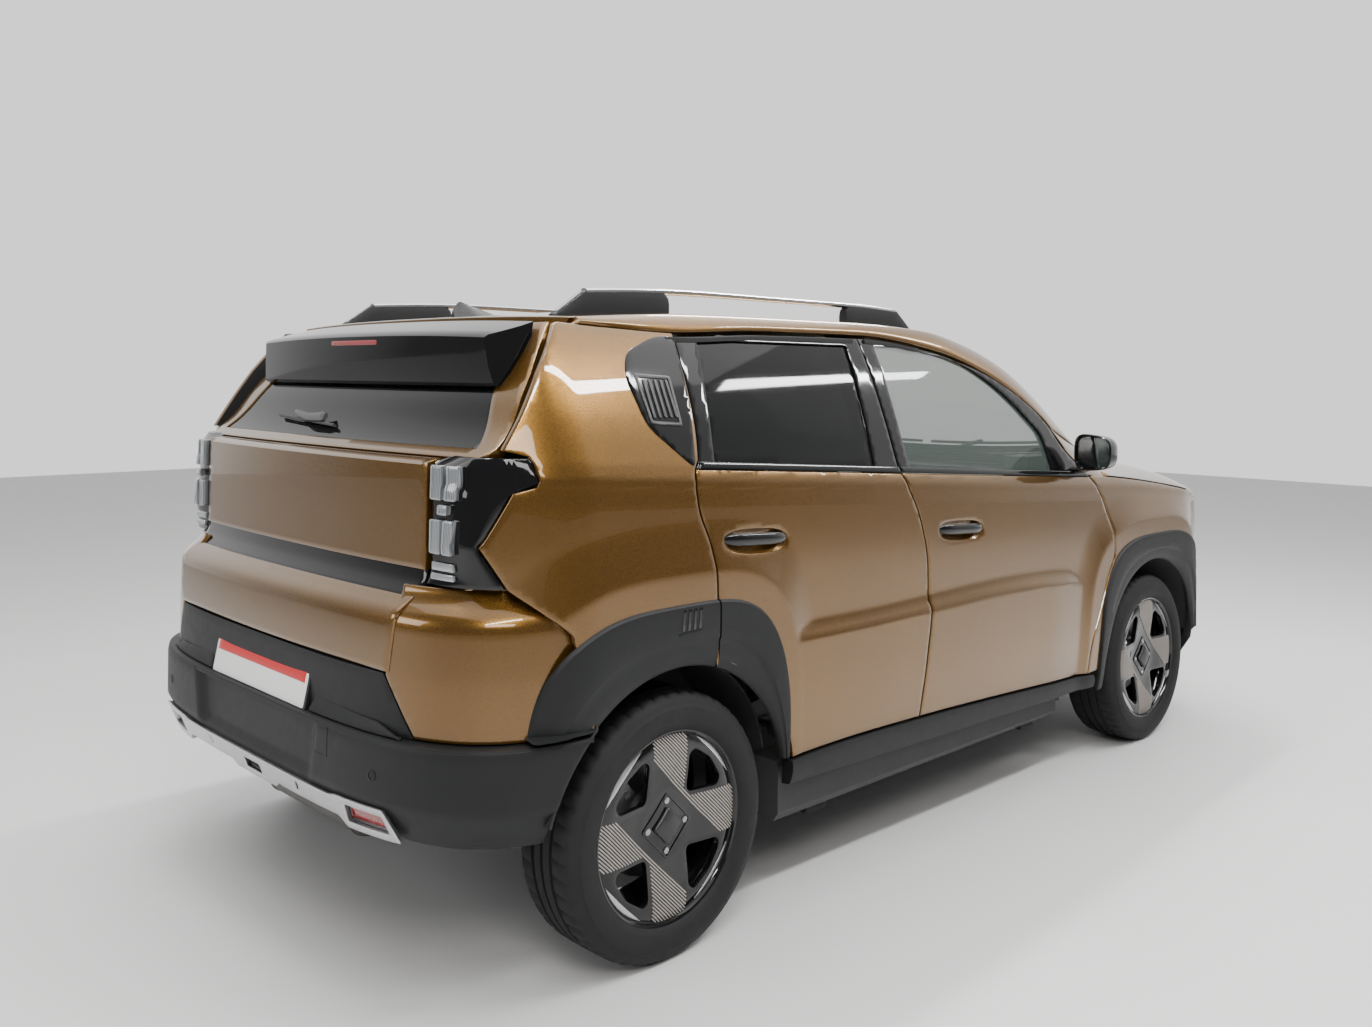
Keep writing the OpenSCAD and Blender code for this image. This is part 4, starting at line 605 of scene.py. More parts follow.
def tube(path, radius, n=14, close=False, way=(0, 0, 1)):
    """Round bar along a path that never runs along way."""
    a = np.linspace(0, 2 * np.pi, n, endpoint=False)
    return sweep(columns(np.cos(a), np.sin(a)) * radius, path, way, close)


def lathe(profile, centre, n=96, close=True):
    """Closed profile (radius, across) turned about an axle that runs across the car."""
    profile = np.asarray(profile, float)
    a = np.linspace(0, 2 * np.pi, n, endpoint=False)
    net = columns(profile[None, :, 0] * np.cos(a)[:, None] + centre[0],
        np.broadcast_to(profile[None, :, 1] + centre[1], (n, len(profile))),
                    profile[None, :, 0] * np.sin(a)[:, None] + centre[2])
    points = net.reshape(-1, 3)
    faces = quads(n, len(profile), True, close).tolist()
    k = int(np.argmax(profile[:, 0]))
    return facing(points, faces, k,
        np.array([centre[0] + profile[:, 0].mean(), profile[:, 1].mean() + centre[1], centre[2]]))


SIDES = (("left", False), ("right", True))


# Doors, with window frames, panes, belt trims and handles
def fixed(f, z):
    """Height where a shut line crosses a level line, by a few repeats."""
    for _ in range(12):
        z = float(f(z))
    return z


def door_top(x):
    """Upper shut line of the doors: the gutter's height less a gap."""
    return curve(GUTTER, np.minimum(x, -172)) - 7.2


def pane_top(x):
    """Upper edge of the side glass: below the shut line, held under one level."""
    return np.minimum(1486, door_top(x) - 6.8)


def front_front(z):
    """Fore shut line of the front door, by height."""
    return curve(FRONT_DOOR, z) - GAP


def front_rear(z):
    """Aft shut line of the front door, by height."""
    return curve(MIDDLE, z) + GAP


def rear_front(z):
    """Fore shut line of the rear door, by height."""
    return curve(MIDDLE, z) - GAP


def rear_rear(z):
    """Aft shut line of the rear door, by height: the door's own edge or the wheel opening's, whichever is ahead."""
    return np.maximum(curve(REAR_DOOR, z), REAR_X + arch(z) + 30 * (arch(z) > 1)) + GAP


def quad_outline(fe, re, low, high, n=26):
    """Closed outline between a fore and an aft edge (of height) and a lower and an upper line (of place along)."""
    zf0, zr0 = fixed(lambda z: low(fe(z)), 400 if low(0) < 800 else 1100), fixed(lambda z: low(re(z)),
        400 if low(0) < 800 else 1100)
    zf1, zr1 = fixed(lambda z: high(fe(z)), 1200), fixed(lambda z: high(re(z)), 1200)
    t = np.linspace(0, 1, n)
    zf, zr = zf0 + (zf1 - zf0) * t, zr1 + (zr0 - zr1) * t
    xb = fe(zr0 * 0 + zf0) * t + re(zr0) * (1 - t)
    xt = fe(zf1) * (1 - t) + re(zr1) * t
    bottom = columns(xb, low(xb))
    front = columns(fe(zf), zf)
    top = columns(xt, high(xt))
    rear = columns(re(zr), zr)
    return np.concatenate([bottom[:-1], front[:-1], top[:-1], rear[:-1]])


def oval(cx, cz, a, b, lean=0.0, power=2.6, n=36):
    """Superellipse loop about a centre."""
    t = np.linspace(0, 2 * np.pi, n, endpoint=False)
    x, z = bent(np.cos(t), 2 / power) * a, bent(np.sin(t), 2 / power) * b
    return columns(cx + x, cz + z + lean * x)


def scoop(cx, cz, a, b, lean, deep):
    """Dish behind a handle, closed at the back: depth falls off with the square of the distance from its middle."""
    rings = np.linspace(0.02, 1, 9)
    net, back = [], []
    for r in rings:
        p = oval(cx, cz, a * r, b * r, lean)
        y = side(p[:, 0], p[:, 1])
        d = 3 + deep * (1 - r * r)
        net.append(columns(p[:, 0], y - d, p[:, 1]))
        back.append(columns(p[:, 0], y - deep - 8, p[:, 1]))
    outer, inner = np.array(net), np.array(back)
    outer, inner = (np.concatenate([a_, a_[:, :1]], 1) for a_ in (outer, inner))
    return shell(outer, inner)


def pull(cx, cz, a, b, lean):
    """Bowed handle over its scoop, as a rounded bar tapering to both ends."""
    s = np.linspace(-1, 1, 25)
    t = np.linspace(0, 2 * np.pi, 14, endpoint=False)
    rows_ = []
    for k in s:
        x, z = cx + k * a, cz + lean * k * a + b * 0.16
        y = float(side(x, z)) + 9 * (1 - k ** 4) - 5
        grow = (1 - abs(k) ** 5) ** 0.5 * 0.92 + 0.08
        rows_.append(columns(np.full(14, x), y + np.sin(t) * 6.5 * grow, z + np.cos(t) * b * 0.5 * grow))
    net = np.array(rows_)
    return capped(net, 12, 3)


def pane_outline(fe_table, re_table):
    """Outline of a side pane between two edges by height, the belt line and the glass's upper edge."""
    return quad_outline(lambda z: curve(fe_table, z), lambda z: curve(re_table, z), lambda x: curve(BELT, x) + 13,
        pane_top)


def on_door(fold):
    """Lift to the side whose back stays shallow ahead of the hinge, so the edge can swing in."""
    return lambda p, d: on_side()(p, np.minimum(d, 12 + np.maximum(d - 12, 0) * np.clip((fold - p[:, 0]) / 26, 0, 1)))


DOORS = {
    "front": (front_front, front_rear,
        [(350, 420), (1075, 452), (1190, 440), (1250, 385), (1418, 126), (1470, -60), (1489, -250)],
              [(1000, -318), (1129, -387), (1489, -375)], (-144.0, 927.0, 122.0, 31.0, -0.055), pale_glass),
    "rear": (rear_front, rear_rear, [(1147, -557), (1486, -510)], [(1178, -1206), (1486, -1138)],
             (-1079.0, 980.0, 121.0, 31.0, -0.055), dark_glass)}
for end, (fe, re, gf, gr, grip, tint) in DOORS.items():
    skin = quad_outline(fe, re, lambda x: curve(BOTTOM, x) + GAP, lambda x: curve(BELT, x) - 1.5)
    grip_hole = oval(*grip)
    opening = pane_outline(gf, gr)
    ring = quad_outline(fe, re, lambda x: curve(BELT, x) - 0.5, door_top)
    strip = quad_outline(fe, re, lambda x: curve(BELT, x) + 1, lambda x: curve(BELT, x) + 17)
    for name, right in SIDES:
        body = f"{end}_door_{name}"
        door = Parts()
        door.add(panel(skin, on_door(636 if end == "front" else -412), 58, [grip_hole], step=12))
        door.add(scoop(*grip, 17.0), 0)
        door.add(panel(ring, on_side(-3.0), 24, [opening], step=16, roll=2.0), 2)
        door.add(panel(strip, on_side(3.2), 7, step=16, roll=2.2), 3)
        door.add(pull(*grip), 3)
        xt = np.linspace(ring[:, 0].max() - 30 if end == "rear" else -150, ring[:, 0].min() + 26, 30)
        lip = columns(xt, side(xt, door_top(xt) - 8) - 1, door_top(xt) - 8)
        door.add(sweep(knots([(3, -6), (4, 0), (3, 6), (-4, 6), (-4, -6)]), lip, (0, 1, 0)), 4)
        door.object(f"door_skin_{end}_{name}", (paint, trim, black, black, satin), body, right,
            stand_for=(f"door_{end}_{name}",), slot="bronze_paint")
        pane = Parts().add(panel(inset(wound(opening, 1), -7.0), on_side(-10.0), 4, step=24, roll=0.8))
        pane.object(f"pane_{end}_{name}", (tint, tint), body, right, stand_for=(f"glass_{end}_{name}",))


# Quarters with the black corner trim, front wings, and the strips from the screen pillars along the roof
def circle(axle, a0, a1, radius=ARCH + 32, n=40):
    """Arc of points round an axle, from one angle to another."""
    a = np.radians(np.linspace(a0, a1, n))
    return columns(axle + radius * np.cos(a), HUB + radius * np.sin(a))


z_up = np.linspace(692, 1500, 40)
z_down = np.linspace(1514, 614, 70)
x_back = np.linspace(-1222, -1578, 16)
quarter = np.concatenate([circle(REAR_X, 131.2, 73.2), columns(curve(REAR_DOOR, z_up) - GAP, z_up),
                          columns(x_back, curve(GUTTER, x_back) + 1.5), columns(line(QUARTER, z_down) + 2, z_down)])
corner = knots([(-1279, 1172), (-1300, 1186), (-1404, 1273), (-1431, 1389), (-1405, 1448), (-1300, 1488),
    (-1222, 1496), (-1240, 1330)])
corner = rounded(corner, 30)
fender_top = np.linspace(1638, 712, 40)
fender_down = np.linspace(1040, 345, 40)
fender = np.concatenate([circle(FRONT_X, 176, 47.2), [(1638, 606)],
    columns(fender_top, curve(SEAM, fender_top) - GAP),
                         columns(curve(FRONT_DOOR, fender_down) + GAP, fender_down)])
rail_g = [518, 480, 380, 258, 110, -32, -425, -875, -1215, -1400, -1512]
rail_e = [-83, -422, -875, -1215, -1400, -1512]


def side_at(x, table, lift=0.0):
    """Points on the body side at places along the car, at a table's heights."""
    z = curve(table, x) + lift
    return columns(x, side(x, z), z)


def smooth_path(points, n):
    """Points evenly placed by index on the monotone cubics through a few points."""
    points = np.asarray(points, float)
    k = np.arange(len(points))
    t = np.linspace(0, len(points) - 1, n)
    return np.stack([curve(columns(k, points[:, i]), t) for i in range(3)], -1)


low_rail = smooth_path(side_at(np.array(rail_g, float), GUTTER, 3.5), 90)
high_rail = smooth_path(np.concatenate([PILLAR, side_at(np.array(rail_e, float), ROOF_EDGE)]), 90)
v = stations(9, 0.05)
strip_net = low_rail[:, None] * (1 - v)[None, :, None] + high_rail[:, None] * v[None, :, None]
strip_net[..., 1] += 4 * 8.0 * (v * (1 - v))[None, :]
strip_in = strip_net + np.array([-10.0, -34.0, -10.0])
body_side = Parts()
body_side.add(panel(quarter, on_side(), 18, step=12))
body_side.add(rolled(strip_net, strip_in, 3.0))
corner_part = Parts().add(panel(corner, on_side(2.6), 6, step=12, roll=2.0))
vent = knots([(-1392, 1278), (-1290, 1270), (-1284, 1392), (-1402, 1398)])
corner_part.add(panel(rounded(vent, 6), on_side(5.0), 4, [rounded(inset(wound(vent, 1), 9), 4)], step=10, roll=1.6),
    2)
for k in range(5):
    x0 = -1380 + k * 18.5
    rib = knots([(x0, 1292), (x0 + 9, 1291), (x0 + 8, 1382), (x0 - 1, 1384)])
    corner_part.add(panel(rounded(rib, 3), on_side(5.6), 3.5, step=10, roll=1.6), 2)
body_side.both().object("side_panels", (paint, trim), "shell", stand_for=("side_frames",), slot="bronze_paint")
corner_part.both().object("quarter_trims", (black, black, satin, satin), "shell", stand_for=("side_frames",))
Parts().add(panel(fender, on_side(), 16, step=12)).both().object("wings", (paint, liner), "shell",
    stand_for=("front_wings",), slot="bronze_paint")

# Roof, windscreen and bonnet
u = np.concatenate([[-1, -0.994], np.linspace(-0.985, 0.985, 61), [0.994, 1]])
t = stations(60, 0.004)
U, T = np.meshgrid(u, t, indexing="ij")


def lid_edge_x(y):
    """Place along the car of the tailgate's upper shut line, across the car."""
    return tail(y, 1522) + 23


fore = 215 + (149 - 215) * U ** 2 - 9
X = fore + (lid_edge_x(U * HALF * 0.715) - fore) * T
ez = curve(ROOF_EDGE, np.minimum(X, 149))
ey = side(np.minimum(X, 149), ez)
ey = np.minimum(ey, ey + (664 - ey) * np.clip((X + 83) / 232, 0, 1)) - 5
Z = curve(ROOF_MID, X) + (ez - curve(ROOF_MID, X)) * np.abs(U) ** 2.4
roof = columns(X, U * ey, Z)
for k in (-0.46, -0.23, 0.23, 0.46):
    roof[..., 2] += 3.0 * np.exp(-((U - k) / 0.05) ** 2) * ease((T - 0.12) / 0.08) * ease((0.93 - T) / 0.06)
Parts().add(rolled(roof, roof * (1, 0.97, 1) - (0, 0, 20), 3.0)).object("roof", (paint,), "shell",
    stand_for=("roof_panel",), slot="bronze_paint")


def screen_net(pull_in, n=41, rows_=30):
    """Windscreen: rows between the middle line and the pillar's edge, mixed by the square of the share across."""
    k = np.arange(5)
    s = np.linspace(0, 4, rows_)
    mid = [curve(columns(k, SCREEN[:, i]), s) for i in range(2)]
    edge = [curve(columns(k, PILLAR[:, i]), s) for i in range(3)]
    w = np.linspace(-1, 1, n)[:, None] ** 2
    uu = np.linspace(-1, 1, n)[:, None]
    return columns(mid[0] + (edge[0] - mid[0]) * w, uu * (edge[1] - pull_in), mid[1] + (edge[2] - mid[1]) * w)


glass = screen_net(6.0)
Parts().add(shell(glass, screen_net(8.0) - (3.1, 0, 3.9))).object("windscreen_glass", (pale_glass,), "shell",
    stand_for=("windscreen",))
border = Parts()
frit = glass - (3.6, 0, 4.4)
border.add(shell(frit[:, -3:], frit[:, -3:] - (0.9, 0, 1.1)))
border.add(shell(frit[:, :3], frit[:, :3] - (0.9, 0, 1.1)))
border.add(shell(frit[:3], frit[:3] - (0.9, 0, 1.1)))
border.add(shell(frit[-3:], frit[-3:] - (0.9, 0, 1.1)))
border.object("screen_border", (satin,), "shell", stand_for=("windscreen",))

u = np.concatenate([[-1, -0.993], np.linspace(-0.985, 0.985, 67), [0.993, 1]])
U, T = np.meshgrid(u, stations(56, 0.006), indexing="ij")
aft = 985 + (858 - 985) * U ** 2
wide = float(side(1640, curve(SEAM, 1640)))
walk = NOSE.by_y(np.abs(U) * wide)
fore = NOSE.spot(np.abs(walk).ravel(), 38.0)[:, 0].reshape(U.shape)
X = aft + (fore - aft) * T
W = np.where(X < 1640, side(X, curve(SEAM, X)), wide)
E = curve(SEAM, X) + 3
M = curve(BONNET, X)
Z = M + (E - M) * np.abs(U) ** 5
crease = np.exp(-((np.abs(U) - 0.62 + 0.1 * T) / 0.03) ** 2)
Z = Z + 4.5 * crease * ease(T / 0.1) * ease((0.96 - T) / 0.1)
lid = columns(X, U * W, Z)
taper = np.where(np.abs(U) > 0.95, 0.15, np.where(np.abs(U) > 0.85, 0.5, 1))
under_lid = lid * (1, 0.975, 1) - columns(0 * U, 0 * U, 20 * taper)
Parts().add(rolled(lid, under_lid, 3.0)).object("bonnet_lid", (paint,), "lid_front", stand_for=("bonnet",),
    slot="bronze_paint")

# Tail: faces of the tailgate are walked by length up its profile
z_fine = np.linspace(700, 1540, 1681)
x_fine = curve(TAIL, z_fine)
S_FINE = np.concatenate([[0], np.cumsum(np.hypot(np.diff(z_fine), np.diff(x_fine)))])


def climb(z):
    """Length up the tail's profile at a height."""
    return np.interp(z, z_fine, S_FINE)


def on_lid(raise_=0.0):
    """Lift from across and the length up the tail's profile."""
    def lift(p, d):
        z = np.interp(p[:, 1], S_FINE, z_fine)
        slope = np.interp(z, z_fine, np.gradient(x_fine, z_fine))
        k = 1 / np.sqrt(1 + slope ** 2)
        off = d - raise_
        return columns(tail(p[:, 0], z) + off * k, p[:, 0], z - off * k * slope)
    return lift


def lid_outline(z0, z1, edge, n=30, cut=GAP):
    """Outline on the tailgate between two heights, its sides from a table of half widths by height."""
    z = np.linspace(z0, z1, n)
    y = line(edge, z) - cut
    s = climb(z)
    return np.concatenate([columns(y, s), columns(-y, s)[::-1]])


GLASS_EDGE = [(1210, 668), (1232, 660), (1354, 588), (1540, 520)]
gate = Parts()
gate.add(panel(lid_outline(741, 903, LID), on_lid(), 34, step=20))
gate.add(panel(lid_outline(957, 1205, [(900, 590), (1300, 590)]), on_lid(), 34, step=20))
gate.add(panel(lid_outline(901, 959, [(880, 592), (1000, 592)]), on_lid(-6.0), 30, step=18), 2)
hole = lid_outline(1228, 1440, GLASS_EDGE)
upper = lid_outline(1208, 1520, [(1208, 700), (1222, 731), (1300, 712), (1400, 676), (1500, 631), (1540, 612)])
gate.add(panel(upper, on_lid(), 28, [hole], step=16), 0)
gate.object("tailgate_panels", (paint, trim, black, trim), "lid_rear", stand_for=("tailgate",), slot="bronze_paint")
Parts().add(panel(lid_outline(1222, 1446, GLASS_EDGE, cut=-4), on_lid(-3.5), 4, step=24, roll=0.8)).object(
    "rear_glass", (dark_glass, dark_glass), "lid_rear", stand_for=("tailgate_glass",))

# Spoiler: one profile carried across, drawn in and forward to its ends, with slim wings down beside the glass
profile = knots([(-1598, 1530), (-1640, 1518), (-1690, 1504), (-1720, 1495), (-1727, 1488), (-1727, 1476),
    (-1722, 1410),
                    (-1716, 1372), (-1708, 1364), (-1692, 1366), (-1676, 1396), (-1648, 1438), (-1612, 1486)])
reach_y = knots([588, 596, 590, 577, 572, 570, 582, 594, 598, 602, 606, 606, 598])
s = np.linspace(-1, 1, 49)
net = columns(profile[None, :, 0] + 21.78 * (np.abs(s[:, None]) * 600 / 590.6) ** 2.2 + 0 * reach_y[None],
                s[:, None] * reach_y[None],
                profile[None, :, 1] - 10 * np.abs(s[:, None]) ** 2.4 * (profile[None, :, 1] > 1480))
wing = Parts().add(capped(net, 24, 2, (-1, 0, 1)))
brake = rounded(knots([(-120, 0), (120, 0), (120, 13), (-120, 13)]), 5)


def on_wing(p, d):
    """Lift to the spoiler's rear face: a power curve across the car."""
    return columns(-1726 + 21.78 * (np.abs(p[:, 0]) / 590.6) ** 2.2 - 1.2 + d, p[:, 0], 1466 + p[:, 1])


wing.add(panel(brake, on_wing, 4, step=12, roll=1.2), 1)
wing.object("spoiler_wing", (black, red, red), "lid_rear", stand_for=("spoiler",), slot="gloss_black", sharp=30)

# Rear wiper: a cover over its spindle, a slim arm and a blade lying on the glass
def glass_spot(y, z, off):
    """Points over the rear glass, off its face by a distance."""
    return on_lid(off)(columns(np.asarray(y, float), climb(np.asarray(z, float))), np.zeros(len(y)))


wiper = Parts()
path = glass_spot([40, 60, 120, 190, 232], [1266, 1264, 1262, 1270, 1276], 16.0)
arm = smooth_path(path, 26)
flat = knots([(9, 0), (6, 11), (-5, 13), (-7, 0), (-5, -13), (6, -11)])
taper_ = np.interp(np.arange(26), [0, 3, 12, 25], [0.8, 1.25, 0.95, 0.45])
net = sweep(flat, arm, (-1, 0, 0.5))
pts = np.asarray(net[0]).reshape(26, 6, 3)
pts = arm[:, None] + (pts - arm[:, None]) * taper_[:, None, None]
wiper.add((pts.reshape(-1, 3), net[1]))
ys = np.linspace(-20, 330, 30)
blade = glass_spot(ys, 1252 + 0.045 * ys, 7.0)
wiper.add(sweep(knots([(6, 0), (2, 4), (-6, 1.5), (-6, -1.5), (2, -4)]), blade, (-1, 0, 0.8)))
wiper.object("rear_wiper", (cover_grey,), "lid_rear", stand_for=("tailgate_glass",))

# Tail lamps: a dark corner housing with pale blocks
LAMP = 330.0


def lamp_xy(share_, z, d):
    """Corner of the tail: a bend from the tailgate's edge round to the quarter's."""
    a = columns(tail(597.0, z) + 5, np.full_like(z, 597.0))
    xq = line(QUARTER, z) - 3
    c = columns(xq, side(xq, z))
    b = columns(np.minimum(a[:, 0] + 14, -1862), np.full_like(z, 742.0))
    w = share_[:, None]
    p = a * (1 - w) ** 2 + b * 2 * w * (1 - w) + c * w * w
    tangent = (b - a) * 2 * (1 - w) + (c - b) * 2 * w
    n = columns(-tangent[:, 1], tangent[:, 0])
    n /= np.linalg.norm(n, axis=1, keepdims=True)
    n *= np.where(n[:, :1] * -1 + n[:, 1:] * 0.3 > 0, -1, 1)
    return p + n * d[:, None]


def on_lamp(raise_=0.0):
    """Lift to the tail lamp's face, by share along it and height."""
    return lambda p, d: np.concatenate([lamp_xy(np.clip(p[:, 0] / LAMP, 0, 1), p[:, 1], d - raise_), p[:, 1:]], 1)


lamp = Parts()
lamp.add(panel(knots([(0, 929), (LAMP, 929), (LAMP, 1211), (0, 1211)]), on_lamp(-3.0), 16, step=14, roll=3.0))
for a0, a1, z0, z1 in ((16, 62, 1116, 1193), (78, 124, 1116, 1193), (16, 62, 998, 1074), (78, 124, 998, 1074),
    (50, 92, 1084, 1107)):
    box = rounded(knots([(a0, z0), (a1, z0), (a1, z1), (a0, z1)]), 4)
    lamp.add(panel(box, on_lamp(11.0), 16, step=10, roll=2.2), 2)
    bright = knots([(a0 + 3, z0 + 3), (a0 + 9, z0 + 3), (a0 + 9, z1 - 3), (a0 + 3, z1 - 3)])
    lamp.add(panel(bright, on_lamp(13.5), 4, step=10, roll=1.2), 4)
for z0, z1 in ((962, 980), (942, 956)):
    lamp.add(panel(rounded(knots([(18, z0), (122, z0), (116, z1), (18, z1)]), 3), on_lamp(5.0), 9, step=10, roll=2.0),
        4)
lamp.both().object("tail_lamp_blocks", (black, black, lens, lens, edge_lens, edge_lens), "shell",
    stand_for=("tail_lamps",), slot="lamp_lens")

# Rear bumper: dark lower part with the plate's recess and shoulders, painted corners, silver strip, red reflectors
rear_dark = [(371, 50), (462, 0), (590, 0), (600, 5)]


def rump_end(z):
    """Length round the rear bumper to its forward end at a height."""
    return RUMP.by_x(np.minimum(REAR_X - arch(z), line(QUARTER, np.maximum(z, 560))) - 3)


def on_dark(raise_=0.0):
    """Lift to the dark lower bumper, its middle set back below the plate with slanted ends."""
    def lift(p, d):
        dip = 16 * np.clip((318 + 0.22 * (p[:, 1] - 470) - np.abs(p[:, 0])) / 26, 0,
            1) * np.clip((p[:, 1] - 446) / 30, 0, 1)
        xy = RUMP.spot(p[:, 0], line(rear_dark, p[:, 1]) + dip - raise_ + d)
        return np.concatenate([xy, p[:, 1:]], 1)
    return lift


z_side = np.linspace(374, 600, 14)
w_side = rump_end(z_side)
dark = np.concatenate([columns(-w_side, z_side), columns(w_side, z_side)[::-1]])
rear = Parts()
rear.add(panel(dark, on_dark(), 34, step=13, roll=5.0))
w_t = np.linspace(-w_side[-1] + 2, w_side[-1] - 2, 160)
ledge = np.stack([np.concatenate([RUMP.spot(w_t, np.full(160, d_)), np.full((160, 1), z_)], 1)
                  for d_, z_ in ((3.0, 595.0), (4.5, 599.0), (9.0, 601.0), (22.0, 602.0), (36.0, 603.0))], 1)
rear.add(shell(ledge, ledge - (0, 0, 7)))
w_t = np.linspace(-590, 590, 80)
back_step = np.stack([np.concatenate([RUMP.spot(w_t, np.full(80, d_)), np.full((80, 1), 733.0)], 1) for d_ in (38.0,
    60.0, 90.0, 120.0)], 1)
rear.add(shell(back_step, back_step - (0, 0, 4)), 1)
middle = rounded(knots([(-668, 603), (668, 603), (572, 737), (-572, 737)]), 6)
rear.add(panel(middle, on_plan(RUMP, REAR_SET), 12, step=20, roll=2.0))
for s_ in (1, -1):
    wedge = rounded(knots([(s_ * 278, 604), (s_ * 640, 604), (s_ * 560, 628), (s_ * 300, 640)]), 8)
    rear.add(panel(wedge, on_plan(RUMP, [(600, 14), (640, 28)]), 10, step=14, roll=3.0))
tow = knots([(-392, 524), (-318, 524), (-318, 592), (-392, 592)])
rear.add(panel(rounded(tow, 5), on_dark(0.8), 4, [rounded(inset(wound(tow, 1), 3), 4)], step=12, roll=0.8))
for s_ in (1, -1):
    rear.add(panel(oval(s_ * 560, 520, 13, 13, power=2.0, n=24), on_dark(1.4), 4,
        [oval(s_ * 560, 520, 9, 9, power=2.0, n=20)], step=9, roll=0.9))
    rear.add(panel(oval(s_ * 560, 520, 8.4, 8.4, power=2.0, n=20), on_dark(0.6), 4, step=9, roll=0.9))
z_c = np.linspace(606, 924, 26)
w_out, w_in = rump_end(z_c), RUMP.by_y(line(LID, np.maximum(z_c, 741)) + 5)
w_in = np.where(z_c < 739, np.maximum(w_in, 668 - (z_c - 603) * 96 / 134 + 3), w_in)
skin = np.concatenate([columns(w_in, z_c), columns(w_out, z_c)[::-1]])
cover = panel(skin, on_plan(RUMP, REAR_SET), 22, step=13)
cover2 = (np.asarray(cover[0]) * (1, -1, 1), [q[::-1] for q in cover[1]], cover[2])
rear.add(cover, 2).add(cover2, 2)
rear.object("rear_bumper_parts", (clad, liner, paint, liner), "shell", stand_for=("rear_bumper",),
    slot="dark_cladding")

skid = Parts()
edge_w = 640.0
strip = rounded(knots([(-edge_w, 376), (-452, 372), (-424, 396), (-130, 396), (-112, 382), (112, 382), (130, 396),
    (424, 396), (452, 372),
                          (edge_w, 376), (edge_w - 44, 452), (420, 450), (400, 444), (-400, 444), (-420, 450),
                          (44 - edge_w, 452)]), 9)
spots = [rounded(knots([(s_ * 462, 392), (s_ * 606, 394), (s_ * 590, 434), (s_ * 462, 434)]), 5) for s_ in (1, -1)]
slot_ = [rounded(knots([(-46, 400), (46, 400), (46, 424), (-46, 424)]), 6)]
slot_ += [rounded(knots([(a0, 414), (a0 + 12, 414), (a0 + 12, 432), (a0, 432)]), 4) for a0 in (-250, 238)]
SKID_SET = [(371, 34), (462, 0), (600, 0)]
skid.add(panel(strip, on_plan(RUMP, SKID_SET, 9.0), 14, spots + slot_, step=16, roll=3.0))
for q in spots:
    skid.add(panel(inset(wound(q, 1), 7.0), on_plan(RUMP, SKID_SET, -3.0), 6, step=14, roll=2.0), 2)
    skid.add(panel(inset(wound(q, 1), -2.0), on_plan(RUMP, SKID_SET, -6.0), 4, step=20), 0)
NOSE_LOW = [(236, 40), (340, 8), (600, 8)]
chin = rounded(knots([(-430, 244), (430, 244), (470, 322), (380, 330), (-380, 330), (-470, 322)]), 14)
skid.add(panel(chin, on_plan(NOSE, NOSE_LOW, 6.0), 12, step=20, roll=3.0))
skid.object("skid_strips", (silver, silver, red, red), "shell", stand_for=("skid_plates",), slot="silver_trim")


def leaning(x0, z0, x1, z1, raise_=0.0):
    """Lift from across and up to a plane that leans between two lines."""
    n = np.array([-(z1 - z0), 0, x1 - x0]) / math.hypot(x1 - x0, z1 - z0)

    def lift(p, d):
        k = (p[:, 1] - z0) / (z1 - z0)
        base = columns(x0 + (x1 - x0) * k, p[:, 0], p[:, 1])
        return base + n * (raise_ - d)[:, None]
    return lift


plate = Parts()
rim = rounded(knots([(-262, 598), (262, 598), (262, 712), (-262, 712)]), 8)
face = rounded(knots([(-255, 604), (255, 604), (255, 706), (-255, 706)]), 6)
plate.add(panel(rim, leaning(-1986, 600, -1966, 700), 12, step=30, roll=2.0))
plate.add(panel(face, leaning(-1986, 600, -1966, 700, 1.2), 4, step=30, roll=0.8), 2)
stripe = knots([(-244, 660), (244, 660), (244, 696), (-244, 696)])
plate.add(panel(stripe, leaning(-1986, 600, -1966, 700, 1.7), 3, step=30, roll=0.4), 4)
plate.object("blank_plate", (satin, satin, white, white, band, band), "shell", stand_for=("rear_bumper",))


# Dark cladding round the arches and along the sills
def outside(x, z):
    """Half width over the side and the bumper's plan curve."""
    half = RUMP.xy[:1801]
    front = NOSE.xy[:1801]
    back = np.interp(x, half[::-1, 0], half[::-1, 1], right=0)
    ahead = np.interp(x, front[:, 0], front[:, 1], left=0)
    y = side(x, z)
    y = np.where((x < -1600) & (z < 612), np.maximum(y, back), y)
    return np.where((x > 1560) & (z < 602), np.maximum(y, ahead), y)


RING = {"rear": (REAR_X, 1.0, 1.13, 1.375), "front": (FRONT_X, 1.13, 1.13, 1.255)}


